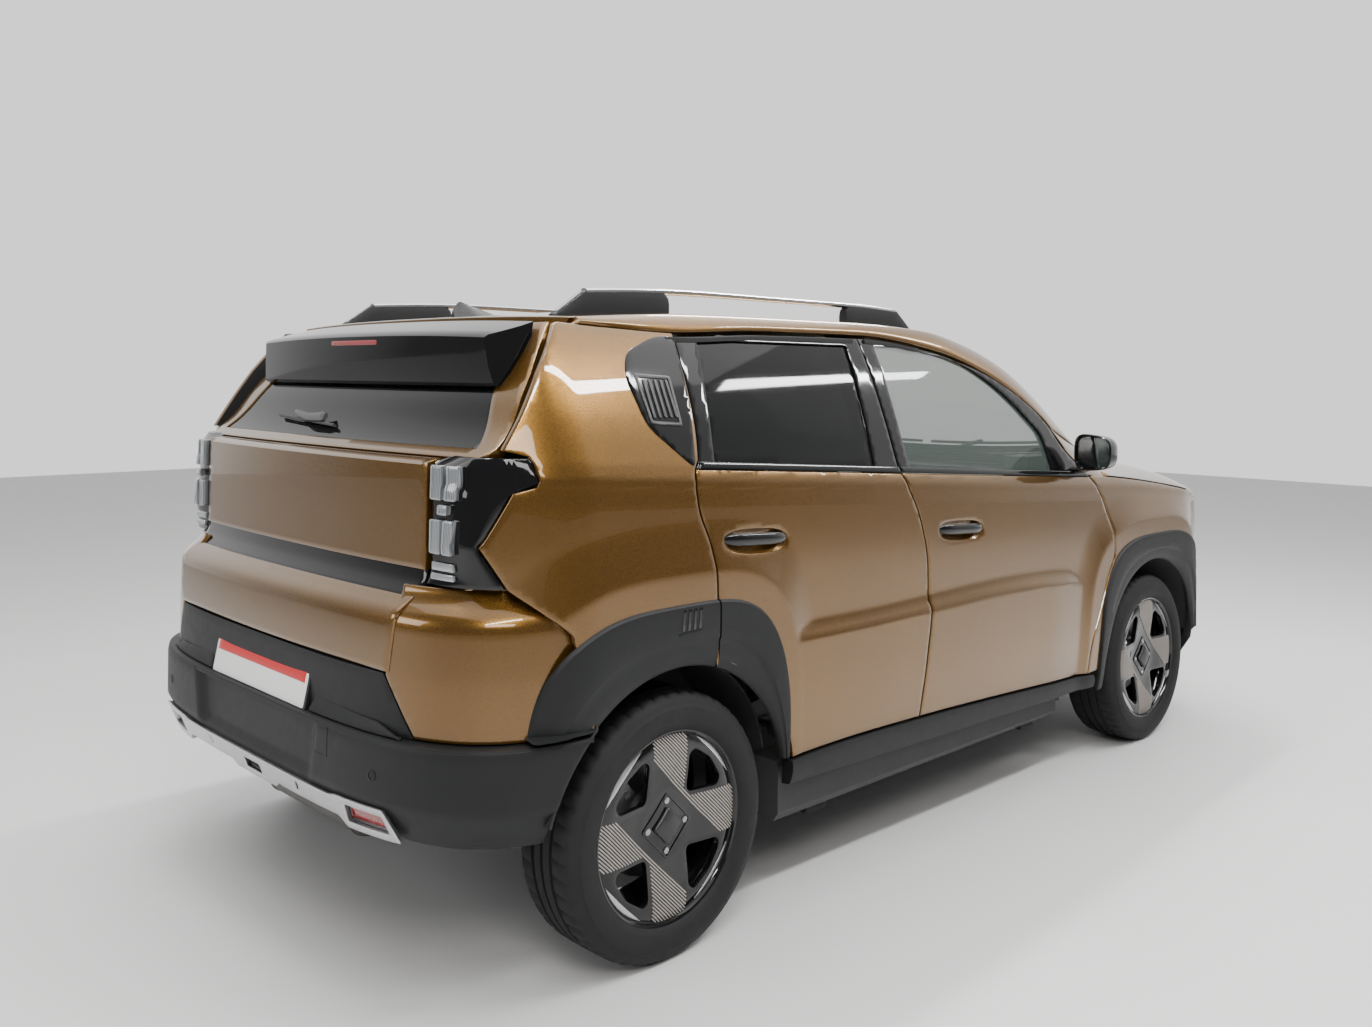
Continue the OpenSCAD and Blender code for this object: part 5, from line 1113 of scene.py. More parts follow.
def ring_part(end, a0, a1, back=2.0, shelf=None, seam=0.0):
    """Arch trim: a sunk inner band and a raised outer one, from the opening to a superellipse, laid on the side.

    Its end at the rear door follows the door's edge, off it by seam: behind if negative, ahead if positive."""
    axle, ahead, behind, up = RING[end]
    v_ = np.array([0, 0.015, 0.05, 0.11, 0.16, 0.30, 0.40, 0.43, 0.46, 0.62, 0.78, 0.92, 0.965, 0.985, 1.0])
    h_ = np.array([-14, -9, -5, -1, 1.6, 3.0, 4.2, 6.6, 8.6, 9.2, 9.4, 9.0, 8.0, 5.0, 0.5])
    start, stop = np.full(len(v_), float(a0)), np.full(len(v_), float(a1))
    for _ in range(7):
        t = np.radians(start + (stop - start)[None] * np.linspace(0, 1, 90)[:, None])
        k = np.where(np.cos(t) > 0, ahead, behind)
        top = np.where(np.sin(t) > 0, up, 1.0)
        outer_r = ((np.abs(np.cos(t)) / k) ** 3.5 + (np.abs(np.sin(t)) / top) ** 3.5) ** (-1 / 3.5) * ARCH
        r = ARCH * 0.985 + np.maximum(outer_r - ARCH * 0.985, 14) * v_[None]
        if shelf is not None:
            stop = 180 - np.degrees(np.arcsin((shelf - HUB) / r[-1]))
        if seam < 0:
            start = np.degrees(np.arccos((curve(REAR_DOOR, HUB + r[0] * np.sin(t[0])) + seam - axle) / r[0]))
        if seam > 0:
            stop = np.degrees(np.arccos((curve(REAR_DOOR, HUB + r[-1] * np.sin(t[-1])) + seam - axle) / r[-1]))
    x, z = axle + r * np.cos(t), HUB + r * np.sin(t)
    y = outside(x, z)
    return shell(columns(x, y + h_[None], z), columns(x, y - np.maximum(back, 14.0 * (v_[None] < 0.3)), z))


def arch_lip(axle, a0, a1, inner_y, set_=4.0):
    """Inner wall of a wheel opening: a strip at the opening's radius from the side in to the wheel house."""
    t = np.radians(np.linspace(a0, a1, 70))[:, None] + np.zeros((1, 6))
    v = np.linspace(0, 1, 6)[None]
    x, z = axle + (ARCH + 3) * np.cos(t), HUB + (ARCH + 3) * np.sin(t)
    y = (outside(x, z) - set_) * (1 - v) + inner_y * v
    far = columns(axle + (ARCH + 9) * np.cos(t), y, HUB + (ARCH + 9) * np.sin(t))
    return shell(columns(x, y, z), far)


def sill_low(x):
    """Lower edge of the sill trim, by place along the car."""
    return line([(-958, 328), (-300, 312), (690, 290)], x)


arches = Parts()
arches.add(ring_part("rear", 76.4, 186, shelf=610.0, seam=-GAP - 0.4))
arches.add(ring_part("front", 9, 186))
x_s = np.linspace(714, -934, 60)
top_z = curve(BOTTOM, x_s) - 4.5
v = np.array([0, 0.03, 0.08, 0.3, 0.55, 0.8, 0.93, 0.98, 1])
h = np.array([-18, -4, 3, 9, 11, 10, 7.5, 5.5, 1])
zz = sill_low(x_s)[:, None] + (top_z - sill_low(x_s))[:, None] * v[None]
xx = np.broadcast_to(x_s[:, None], zz.shape)
yy = side(xx, np.maximum(zz, 345))
arches.add(shell(columns(xx, yy + h[None], zz), columns(xx, yy - 26 + 0 * zz, zz)))
arches.add(arch_lip(REAR_X, 77, 165, 728.0), 1)
arches.add(arch_lip(REAR_X, 14, 77, 728.0, 82.0), 1)
arches.add(arch_lip(FRONT_X, 8, 172, 746.0), 1)
for k in range(4):
    x0 = REAR_X - 12 + 18 * k
    arches.add(panel(knots([(x0 - 4, 793), (x0 + 4.5, 794), (x0 + 8, 843), (x0 - 1, 843)]), on_side(10.4), 3, step=10,
        roll=1.2), 2)
arches.add(panel(knots([(REAR_X - 24, 783), (REAR_X + 52, 785), (REAR_X + 52, 790), (REAR_X - 24, 788)]),
    on_side(11.6), 4, step=10, roll=1.2))
arches.both().object("arch_and_sill_trims", (clad, liner, black, black), "shell", stand_for=("cladding",),
    slot="dark_cladding", sharp=28)
for name, right in SIDES:
    Parts().add(ring_part("rear", 13, 74.2, 1.0, seam=GAP + 0.4)).object(f"door_arch_{name}", (clad,),
        f"rear_door_{name}", right, stand_for=(f"door_rear_{name}",), sharp=28)

# Front end: dark lower bumper, painted corners, black slatted grille, lamps
z_f = np.linspace(244, 598, 16)
w_f = NOSE.by_x(np.maximum(FRONT_X + arch(z_f) + 3, 1450))
chin = np.concatenate([columns(-w_f, z_f), columns(w_f, z_f)[::-1]])
intake = rounded(knots([(-420, 352), (420, 352), (470, 452), (-470, 452)]), 22)
nose_part = Parts()
nose_part.add(panel(chin, on_plan(NOSE, FRONT_SET), 26, [intake], step=20, roll=4.0))
nose_part.add(panel(inset(wound(intake, 1), -6), on_plan(NOSE, FRONT_SET, -22.0), 6, step=24), 2)
for k in range(4):
    z0 = 366 + k * 22
    bar = rounded(knots([(-440, z0), (440, z0), (440, z0 + 9), (-440, z0 + 9)]), 3)
    nose_part.add(panel(bar, on_plan(NOSE, FRONT_SET, -10.0), 14, step=24, roll=2.0), 2)
nose_part.object("front_bumper_parts", (clad, liner, satin, liner), "shell", stand_for=("front_bumper",),
    slot="dark_cladding")
face = Parts()
z_g = np.linspace(604, 882, 20)
w_g = NOSE.by_x(np.full(20, 1643.0))
mask = np.concatenate([columns(-w_g, z_g), columns(w_g, z_g)[::-1]])
w_l0, w_l1 = float(NOSE.by_y(548.0)), float(NOSE.by_y(782.0))
lamp_box = [(w_l0, 722), (w_l1, 722), (w_l1 + 26, 858), (w_l0, 850)]
lamp_holes = [rounded(np.array([(s_ * a, b) for a, b in lamp_box], float), 16) for s_ in (1, -1)]
grid_hole = rounded(knots([(-470, 660), (470, 660), (540, 770), (500, 840), (-500, 840), (-540, 770)]), 20)
face.add(panel(mask, on_plan(NOSE, FRONT_SET), 20, lamp_holes + [grid_hole], step=20))
face.add(panel(inset(wound(grid_hole, 1), -6), on_plan(NOSE, FRONT_SET, -16.0), 6, step=24), 2)
for k in range(6):
    z0 = 668 + k * 28
    reach_ = 462 + 10 * k if k < 4 else 500 - 14 * (k - 4)
    slat = rounded(knots([(-reach_, z0), (reach_, z0), (reach_, z0 + 12), (-reach_, z0 + 12)]), 4)
    face.add(panel(slat, on_plan(NOSE, FRONT_SET, -4.0), 14, step=26, roll=2.5), 2)
face.object("grille_face", (paint, liner, black, black), "shell", stand_for=("front_grille",), slot="gloss_black")
eyes = Parts()
for q in lamp_holes:
    q = wound(q, 1)
    eyes.add(panel(inset(q, 2.0), on_plan(NOSE, FRONT_SET, 1.0), 5, step=16, roll=2.0))
    c = q.mean(0)
    for k in (-1, 1):
        ring = oval(c[0] + k * 52, c[1], 38, 38, power=2.0, n=28)
        eyes.add(panel(ring, on_plan(NOSE, FRONT_SET, -8.0), 6, [oval(c[0] + k * 52, c[1], 30, 30, power=2.0, n=28)],
            step=10, roll=1.5), 2)
    eyes.add(panel(inset(q, -2.0), on_plan(NOSE, FRONT_SET, -15.0), 5, step=20), 4)
head_glass = gloss("head_glass", (0.5, 0.52, 0.54), 0.02, Alpha=0.22)
eyes.object("head_lamp_units", (head_glass, head_glass, chrome, chrome, satin, satin), "shell",
    stand_for=("head_lamps",))

# Roof rails with feet, and the aerial fin
rails = Parts()
for x0, x1, flip in ((-1477, -1091, False), (36, -322, True)):
    t = np.array([0, 0.02, 0.06, 0.12, 0.18, 0.24, 0.28, 0.34, 0.5, 0.7, 0.88, 0.95, 0.97, 0.985, 1.0])
    n = len(t)
    x = x0 + (x1 - x0) * t
    base = curve(ROOF_MID, x) + (curve(ROOF_EDGE, np.minimum(x, 149)) - curve(ROOF_MID, x)) * (530 / 640) ** 2.4 - 2
    rise = np.minimum(np.interp(t, [0, 0.25, 0.31, 0.96, 1.0], [6, 64, 68, 60, 44]), 1633 - base)
    half = np.array([(-17, 0), (-17, 0.6), (-13, 0.93), (-4, 1.0), (4, 1.0), (13, 0.93), (17, 0.6), (17, 0),
        (0, -0.04)])
    grow = np.interp(t, [0, 0.1, 0.9, 1], [0.82, 1, 1, 0.9])
    net = columns(np.broadcast_to(x[:, None], (n, 9)), 530 + grow[:, None] * half[None, :, 0],
        base[:, None] + rise[:, None] * half[None, :, 1])
    rails.add(capped(net, 8, 3, (0, 0, 1)))
    ramp_ = np.array([0.03, 0.08, 0.14, 0.2, 0.235])
    xr = x0 + (x1 - x0) * ramp_
    zr = np.interp(xr, x if not flip else x[::-1], base + rise if not flip else (base + rise)[::-1]) + 0.6
    face_ = np.stack([columns(xr, np.full(5, 530 + s_ * 9.0), zr) for s_ in (-1, -0.5, 0, 0.5, 1)], 1)
    rails.add(shell(face_ + (0, 0, 0.8), face_ - (0, 0, 3)), 1)
x = np.linspace(-1375, -62, 50)
base = curve(ROOF_MID, x) + (curve(ROOF_EDGE, x) - curve(ROOF_MID, x)) * (530 / 640) ** 2.4
bar_z = np.minimum(base + 58, 1622)
oval_bar = knots([(9, 0), (8, 8), (3, 14), (-3, 14), (-8, 8), (-9, 0), (-8, -8), (-3, -14), (3, -14), (8, -8)])
rails.add(sweep(oval_bar, columns(x, np.full(50, 530.0), bar_z), (0, 0, 1)), 1)
rails.both()
t = np.linspace(0, 1, 22)
fx = -1420 + 150 * t
fz = curve(ROOF_MID, fx) - 3
fh = 52 * (1 - t) ** 1.1 * ease((t + 0.12) / 0.3) + 4
fw = 26 * (0.35 + 0.65 * np.sin(np.pi * np.clip(t * 0.86 + 0.07, 0, 1)))
prof = np.array([(-1, 0), (-0.8, 0.25), (-0.35, 0.6), (-0.12, 0.93), (0, 1), (0.12, 0.93), (0.35, 0.6), (0.8, 0.25),
    (1, 0), (0, -0.05)])
net = columns(np.broadcast_to(fx[:, None], (22, 10)), fw[:, None] * prof[None, :, 0],
    fz[:, None] + fh[:, None] * prof[None, :, 1])
rails.add(capped(net, 10, 2, (0, 0, 1)), 2)
rails.object("rails_and_fin", (clad, chrome, satin), "shell", stand_for=("roof_rails",), slot="rail_grey", sharp=40)

# Mirrors: a rounded housing open to the rear with its glass, on a stalk from the door
for name, right in SIDES:
    m = Parts()
    a = np.linspace(0, 2 * np.pi, 40, endpoint=False)
    ring_y, ring_z = bent(np.cos(a), 0.62) * 75, bent(np.sin(a), 0.62) * 62
    xs = np.array([-38, -48, -46, -20, 6, 26, 38, 44, 46])
    gs = np.array([0.90, 0.95, 1.0, 1.0, 0.96, 0.84, 0.62, 0.34, 0.04])
    net = columns(600 + np.broadcast_to(xs[:, None], (9, 40)) - 0.18 * gs[:, None] * ring_y[None],
        930 + gs[:, None] * ring_y[None],
                    1142 + gs[:, None] * ring_z[None] * (1 - 0.1 * (ring_y[None] / 75)))
    m.add(capped(net, 4, 10))
    g = columns(566 - 0.18 * 0.86 * ring_y, 930 + 0.86 * ring_y, 1142 + 0.86 * ring_z)
    m.add((np.concatenate([g - (4, 0, 0), g + (4, 0, 0)]),
           [list(range(40))[::-1], list(range(40, 80))] + [[i, (i + 1) % 40, 40 + (i + 1) % 40,
           40 + i] for i in range(40)]), 1)
    foot = knots([(618, 838, 1076), (615, 862, 1078), (608, 890, 1090), (604, 905, 1106)])
    flat = knots([(13, 0), (9, 26), (0, 34), (-9, 26), (-13, 0), (-9, -26), (0, -34), (9, -26)])
    m.add(sweep(flat, smooth_path(foot, 10), (0, 0, 1)), 0)
    m.object(f"mirror_unit_{name}", (black, mirror_glass), f"front_door_{name}", right, stand_for=(f"mirror_{name}",),
        slot="gloss_black", sharp=50)

# Tyres: a ring with two grooves and blocked shoulders
tyre_profile = [(226, -84), (231, -90), (238, -97), (252, -102), (275, -102.5), (285, -100), (286, -98.6),
    (296, -95.5), (308, -88), (314, -80), (317, -70)]


def tyre(centre):
    """Tyre: half profile to the tread, then ribs with lowered grooves; a wave round the wheel cuts the shoulders."""
    n = 192
    ribs = [(317.6, -62), (318.0, -40), (318.1, -38), (311, -37), (311, -28), (318.2, -27), (318.4, -10), (318.4, -5),
        (311, -4), (311, 4)]
    half = tyre_profile + ribs
    prof = half + [(r_, -y_) for r_, y_ in half[::-1]]
    prof += [(216, 78), (214, 0), (216, -78)]
    prof = np.array(prof, float)
    a = np.linspace(0, 2 * np.pi, n, endpoint=False)
    cut = (np.arange(n) % 4 == 0)
    r_ = np.broadcast_to(prof[:, 0], (n, len(prof))).copy()
    shoulder = (np.abs(prof[:, 1]) > 38.5) & (np.abs(prof[:, 1]) < 84) & (prof[:, 0] > 312)
    r_[np.ix_(cut, np.where(shoulder)[0])] -= 5.0
    y_ = np.broadcast_to(prof[:, 1], (n, len(prof)))
    twist = 0.03 * np.sign(y_) * np.clip(np.abs(y_) / 80, 0, 1) * (r_ > 300)
    net = columns(r_ * np.cos(a[:, None] + twist) + centre[0], y_ + centre[1],
        r_ * np.sin(a[:, None] + twist) + centre[2])
    faces = quads(n, len(prof), True, True).tolist()
    return facing(net.reshape(-1, 3), faces, 3, np.array([centre[0] + 265, centre[1], centre[2]]))


def on_wheel(centre, raise_=0.0):
    """Lift from a wheel's plane to its dished face: the face falls towards the hub."""
    def lift(p, d):
        r_ = np.hypot(p[:, 0], p[:, 1])
        face_ = 84 - 14 * np.exp(-((r_ - 70) / 70) ** 2) - 6 * ease((r_ - 195) / 30)
        return columns(centre[0] + p[:, 0], centre[1] + face_ + raise_ - d, centre[2] + p[:, 1])
    return lift


def stripe_ends(c, half, r):
    """Ends of the line u + v = c inside the strip |u| < half and the circle r."""
    root = math.sqrt(max(0.0, 2 * r * r - c * c))
    return max(-half, (c - root) / 2), min(half, (c + root) / 2)


def wheel(parts, centre):
    """Wheel: barrel, dished face with four openings, striped wedges, crescents, a square cap, nuts and a brake disc."""
    barrel = knots([(216, 70), (224, 75), (230, 80), (231.5, 86), (229, 89), (224, 87), (220, 79), (212, 70),
        (203, 60), (196, 40), (190, 0),
                       (188, -60), (194, -84), (206, -92), (224, -94), (229, -91), (227, -85), (214, -80), (203, -72),
                       (198, -40), (200, 20), (208, 58)])
    parts.add(lathe(barrel, centre, 96), 0)
    t = np.linspace(0, 2 * np.pi, 96, endpoint=False)
    disc = columns(np.cos(t), np.sin(t)) * 221
    hole = knots([(66, 74), (74, 66), (160, 66), (170, 84), (136, 136), (84, 170), (66, 160)])
    turns = [np.array([(1, 0), (0, 1)]), np.array([(0, 1), (-1, 0)]), np.array([(-1, 0), (0, -1)]),
        np.array([(0, -1), (1, 0)])]
    parts.add(panel(disc, on_wheel(centre), 18, [rounded(hole, 10) @ m for m in turns], step=13, roll=3.0, close=10),
        0)
    rib = knots([(2.0, -1.3), (2.3, 0), (2.0, 1.3), (-1.5, 1.8), (-1.5, -1.8)])
    for k in range(18):
        c = 118 + 9.2 * k
        u0, u1 = stripe_ends(c, 54.0, 219.0)
        if u1 - u0 < 8:
            continue
        runs = [(u0, c - u0, u1, c - u1)] + ([(c - u1, u1, c - u0, u0)] if k > 1 else [])
        if k < 2:
            runs = [(u0, c - u0, c - u0, u0)]
        for a0, b0, a1, b1 in runs:
            for s_ in (1, -1):
                path = columns(np.linspace(a0, a1, 7 if k > 1 else 24), np.linspace(b0, b1, 7 if k > 1 else 24)) * s_
                parts.add(sweep(rib, on_wheel(centre, 0.6)(path, np.zeros(len(path))), (0, 1, 0)), 2)
    for m in turns:
        a = np.radians(np.linspace(24, 66, 16))
        arc = np.concatenate([columns(np.cos(a), np.sin(a)) * 217, np.array([(134, 156), (156, 134)])])
        parts.add(panel(arc @ m, on_wheel(centre, 1.6), 3, step=12, roll=1.2), 4)
    cap_ = rounded(knots([(0, -47), (47, 0), (0, 47), (-47, 0)]), 8)
    parts.add(panel(cap_, on_wheel(centre, 9.0), 14, step=10, roll=4.0), 6)
    square = rounded(knots([(0, -80), (80, 0), (0, 80), (-80, 0)]), 8)
    parts.add(panel(square, on_wheel(centre, 2.5), 5, [rounded(knots([(0, -74), (74, 0), (0, 74), (-74, 0)]), 7)],
        step=10, roll=1.2), 0)
    for m in turns:
        nut = columns(np.cos(t[::16]), np.sin(t[::16])) * 9 + np.array([60, 0]) @ m
        parts.add(panel(nut, on_wheel(centre, 3.0), 8, step=9, roll=1.5), 8)
    rotor = knots([(60, 18), (66, 16), (72, 2), (86, 1), (88, 3), (136, 3), (137.5, 1), (137.5, -3), (130, -4),
        (130, -10), (137.5, -11), (137.5, -16),
                      (136, -18), (70, -18), (60, -14)])
    parts.add(lathe(rotor, centre, 72), 8)
    return parts


def caliper(centre):
    """Brake caliper: a curved block over the disc's edge with a ribbed face and a piston boss behind."""
    parts = Parts()
    a = np.radians(np.linspace(128, 172, 14))
    loop = knots([(98, 24), (104, 28), (138, 28), (150, 20), (153, 4), (153, -30), (146, -40), (104, -42), (96, -38),
        (96, -28), (141.5, -26), (141.5, 12),
                     (98, 12)])
    net = columns(centre[0] + loop[None, :, 0] * np.cos(a)[:, None],
        np.broadcast_to(centre[1] + loop[None, :, 1], (14, 13)),
                    centre[2] + loop[None, :, 0] * np.sin(a)[:, None])
    parts.add(capped(net, 7, 1, (0, 1, 0)))
    for b in (138, 162):
        c = np.array([centre[0] + 121 * math.cos(math.radians(b)), centre[1],
            centre[2] + 121 * math.sin(math.radians(b))])
        parts.add(lathe(knots([(1, -64), (15, -64), (17, -60), (17, -38), (1, -38)]), c, 24), 0)
        parts.add(tube(np.stack([c + (0, 26, 0), c + (0, 31, 0)]), 9, 12))
    return parts


for end, axle in (("front", FRONT_X), ("rear", REAR_X)):
    for name, right in SIDES:
        centre = (axle, 746.0, HUB)
        body = f"road_wheel_{end}_{name}"
        Parts().add(tyre(centre)).object(f"tread_{end}_{name}", (rubber,), body, right,
            stand_for=(f"tyre_{end}_{name}",), slot="tyre", sharp=40)
        wheel(Parts(), centre).object(f"rim_{end}_{name}",
            (black, black, insert, insert, silver, silver, satin, satin, steel, steel), body, right,
                                      stand_for=(f"wheel_{end}_{name}",), sharp=40)
        caliper(centre).object(f"caliper_{end}_{name}", (cast,), f"hub_{name}" if end == "front" else "shell", right,
            sharp=40)

# Closing pieces of the front end: cowl below the screen, pillar feet, a filler above the grille, and the wipers
w41 = np.linspace(-1, 1, 41)
aft = 985 + (858 - 985) * w41 ** 2
aft_z = curve(BONNET, aft) + (curve(SEAM, aft) + 3 - curve(BONNET, aft)) * np.abs(w41) ** 5
aft_edge = columns(aft + 10, w41 * side(aft, curve(SEAM, aft)) * 0.985, aft_z - 30 + 14 * np.abs(w41) ** 6)
low_edge = glass[:, 0] - (3, 0, 6)
t = np.linspace(0, 1, 7)[None, :, None]
cowl_net = low_edge[:, None] * (1 - t) + aft_edge[:, None] * t - np.array([0, 0, 1.0]) * 26 * np.sin(np.pi * t ** 0.6)
cowl = Parts().add(shell(cowl_net, cowl_net - (0, 0, 5)))
for k in range(24):
    c = cowl_net[8 + k, 2:5].mean(0)
    slit = np.array([c + (-16, 0, 2), c + (0, 0, 2.6), c + (16, 0, 2)])
    cowl.add(sweep(knots([(2, -3), (2, 3), (-2, 4), (-2, -4)]), slit, (0, 0, 1)))
for u0, u1, hub in ((-0.82, -0.04, 0.0), (0.02, 0.62, 0.38)):
    uu = np.linspace(u0, u1, 24)
    row = np.stack([np.interp(uu, w41, glass[:, 2, i]) for i in range(3)], -1) + (5.5, 0, 7)
    cowl.add(sweep(knots([(7, 0), (2, 5), (-6, 2), (-6, -2), (2, -5)]), row, (0.6, 0, 0.8)))
    foot = np.interp(hub, w41, np.arange(41))
    start = cowl_net[int(round(foot)), 3] + (0, 0, 6)
    reach_ = row[13] + (6, 0, 8)
    arm_ = start + (reach_ - start) * np.linspace(0, 1, 12)[:,
        None] + np.array([0.5, 0, 1.0]) * 7 * np.sin(np.pi * np.linspace(0, 1, 12))[:, None]
    cowl.add(sweep(knots([(4, -7), (6, 0), (4, 7), (-4, 8), (-4, -8)]), arm_, (0.6, 0, 0.8)))
cowl.object("cowl_and_wipers", (satin,), "shell", stand_for=("windscreen",), sharp=44)
v = stations(9, 0.05)
rise = np.linspace(0, 1, 16)
z_t = 1057 + (low_rail[0, 2] - 1057) * rise
x_t = np.maximum(curve(FRONT_DOOR, np.minimum(z_t, 1150)) + GAP + 1, low_rail[0, 0] + (1 - rise) * 40)
x_t = np.where(z_t > 1150,
    x_t[z_t <= 1150][-1] + (low_rail[0, 0] - x_t[z_t <= 1150][-1]) * (z_t - 1150) / (low_rail[0, 2] - 1150), x_t)
door_line = columns(x_t, side(x_t, z_t) - 1.5, z_t)
cowl_line = cowl_net[-1, -1] + (PILLAR[0] - cowl_net[-1, -1]) * rise[:, None]
foot_net = door_line[:, None] * (1 - v)[None, :, None] + cowl_line[:, None] * v[None, :, None]
Parts().add(rolled(foot_net, foot_net + np.array([2.0, -12.0, -4.0]), 2.0)).both().object(
    "pillar_feet", (paint, trim), "shell", stand_for=("front_wings",), slot="bronze_paint")
lid_front = lid[len(lid) // 2:, -1]
w_n = NOSE.by_y(np.abs(w41) * (wide - 5)) * np.sign(w41 + 1e-9)
fore_z = np.interp(np.abs(w41), np.abs(lid_front[:, 1]) / np.abs(lid_front[-1, 1]), lid_front[:, 2])
top_z = fore_z - np.interp(np.abs(w41), [0, 0.84, 0.86, 0.94, 0.96, 1], [26, 26, 17, 17, 8, 8])
fill_net = np.stack([np.concatenate([NOSE.spot(w_n, np.full(41, d_)),
    (878 + (np.maximum(top_z, 880) - 878) * k_)[:, None]], 1)
                     for d_, k_ in ((29.0, 0.0), (30.0, 0.5), (33.0, 0.92), (38.0, 1.0), (70.0, 1.0))], 1)
Parts().add(shell(fill_net, fill_net - (6, 0, 5))).object("grille_top", (paint,), "shell",
    stand_for=("front_grille",), slot="bronze_paint")

# Cabin: padded seats, blown up by cloth simulation from slightly smaller forms
def pad(path, wide, deep, bolster=0.0, n=30, m=44):
    """Cushion: a squarish ring along a path in the lengthwise plane, crowned, raised at its sides, with rounded ends."""
    line_ = smooth_path(np.array([(x, 0.0, z) for x, z in path], float), n)
    t = np.gradient(line_, axis=0)
    t /= np.linalg.norm(t, axis=1, keepdims=True)
    out = np.cross((0, 1, 0), t)
    s = np.linspace(-1, 1, n)
    grow = (1 - np.abs(s) ** 7) ** 0.32
    grow[[0, -1]] = 0.12
    half_w, half_d = np.interp(s, [-1, 0, 1], wide), np.interp(s, [-1, 0, 1], deep)
    a = np.linspace(0, 2 * np.pi, m, endpoint=False)
    cy, cz = bent(np.cos(a), 0.34), bent(np.sin(a), 0.5)
    across = half_w[:, None] * (0.55 + 0.45 * grow[:, None]) * cy[None]
    rise = half_d[:, None] * grow[:, None] * cz[None]
    rise = rise + bolster * grow[:, None] * ease((np.abs(across) / half_w[:, None] - 0.55) / 0.3) * (cz[None] > 0.2)
    net = line_[:, None] + across[..., None] * np.array([0, 1, 0]) + rise[..., None] * out[:, None]
    return capped(net, n // 2, m // 4, out[n // 2])


def swollen(form, voxel, cap):
    """Closed form remeshed to small even faces, then blown up by Cloth with no point moving further than the cap."""
    mesh = bpy.data.meshes.new("form")
    mesh.from_pydata((np.asarray(form[0]) * MM).tolist(), [], form[1])
    obj = bpy.data.objects.new("form", mesh)
    bpy.context.scene.collection.objects.link(obj)
    fine = obj.modifiers.new("fine", "REMESH")
    fine.mode, fine.voxel_size = "VOXEL", voxel * MM
    even = bpy.data.meshes.new_from_object(obj.evaluated_get(bpy.context.evaluated_depsgraph_get()))
    obj.modifiers.clear()
    obj.data = even
    start = np.empty(len(even.vertices) * 3)
    even.vertices.foreach_get("co", start)
    start = start.reshape(-1, 3)
    end = start
    blown = obj.modifiers.new("blown", "CLOTH")
    blown.settings.use_pressure = True
    blown.settings.uniform_pressure_force = 4.0
    blown.settings.effector_weights.gravity = 0.0
    blown.point_cache.frame_start, blown.point_cache.frame_end = 1, 20
    for k in range(1, 21):
        bpy.context.scene.frame_set(k)
    done = obj.evaluated_get(bpy.context.evaluated_depsgraph_get()).to_mesh()
    end = np.empty(len(start) * 3)
    done.vertices.foreach_get("co", end)
    end = end.reshape(-1, 3)
    bpy.context.scene.frame_set(1)
    move = end - start
    far = np.linalg.norm(move, axis=1, keepdims=True)
    points = start + move * np.minimum(1, cap * MM / np.maximum(far, 1e-9))
    normal = np.empty(len(points) * 3)
    even.vertices.foreach_get("normal", normal)
    corners = np.empty(len(even.loops), np.int32)
    even.loops.foreach_get("vertex_index", corners)
    starts = np.empty(len(even.polygons), np.int32)
    even.polygons.foreach_get("loop_start", starts)
    faces = [f.tolist() for f in np.split(corners, starts[1:])]
    bpy.data.objects.remove(obj)
    return points / MM, normal.reshape(-1, 3), faces


def sewn(form, lines, deep=5.0, wide=6.0):
    """Channels pressed into a pad along lines: each line gives the distance of every point from it."""
    points, normal, faces = form
    press = np.max([np.exp(-(f(points) / wide) ** 2) for f in lines], axis=0)
    return points - normal * (deep * press)[:, None], faces


def moved(form, shift):
    """A form shifted by a vector."""
    return np.asarray(form[0]) + shift, form[1]


def soft(name, form, right=False, node="front_seats"):
    """A seat piece with one level of subdivision."""
    obj = Parts().add(form).object(name, (cloth,), "shell", right, 60.0, (node,), "seat_cloth")
    fine = obj.modifiers.new("fine", "SUBSURF")
    fine.levels = fine.render_levels = 1
    return obj


SEAT_Y = 335.0
cushion = swollen(pad([(-178, 402), (-60, 410), (120, 424), (246, 420)], (228, 236, 232), (52, 54, 50), 24.0), 9.0,
    26.0)
cushion = sewn(cushion, [lambda p: np.abs(p[:, 1]) - 150 - 9e3 * (p[:, 2] < 400),
    lambda p: (p[:, 0] + 40) + 9e3 * ((p[:, 2] < 400) | (np.abs(p[:, 1]) > 150)),
                         lambda p: (p[:, 0] - 90) + 9e3 * ((p[:, 2] < 400) | (np.abs(p[:, 1]) > 150))])
rest = swollen(pad([(-205, 470), (-258, 640), (-308, 840), (-352, 1048)], (226, 230, 196), (44, 42, 30), 22.0), 9.0,
    24.0)


def ahead(p):
    """How far a point lies before the seat back's middle plane."""
    return p[:, 0] - np.interp(p[:, 2], [470, 640, 840, 1048], [-205, -258, -308, -352])


rest = sewn(rest, [lambda p: np.abs(p[:, 1]) - 140 - 9e3 * (ahead(p) < 0)] +
            [lambda p, z=z: (p[:, 2] - z) + 9e3 * ((ahead(p) < 0) | (np.abs(p[:, 1]) > 140)) for z in (600, 730,
                860)])
head = swollen(pad([(-340, 1122), (-356, 1170), (-368, 1216)], (112, 118, 108), (30, 32, 26)), 8.0, 14.0)
head = sewn(head, [lambda p: p[:, 0] + 352 + (p[:, 2] - 1170) * 0.3], 3.0)
for name, right in SIDES:
    soft(f"seat_cushion_{name}", moved(cushion, (0, SEAT_Y, 0)), right)
    soft(f"seat_back_{name}", moved(rest, (0, SEAT_Y, 0)), right)
    soft(f"head_pad_{name}", moved(head, (0, SEAT_Y, 0)), right)
bench = swollen(pad([(-1010, 446), (-860, 450), (-700, 456), (-566, 448)], (505, 512, 508), (44, 46, 44), 10.0, m=70),
    10.0, 24.0)
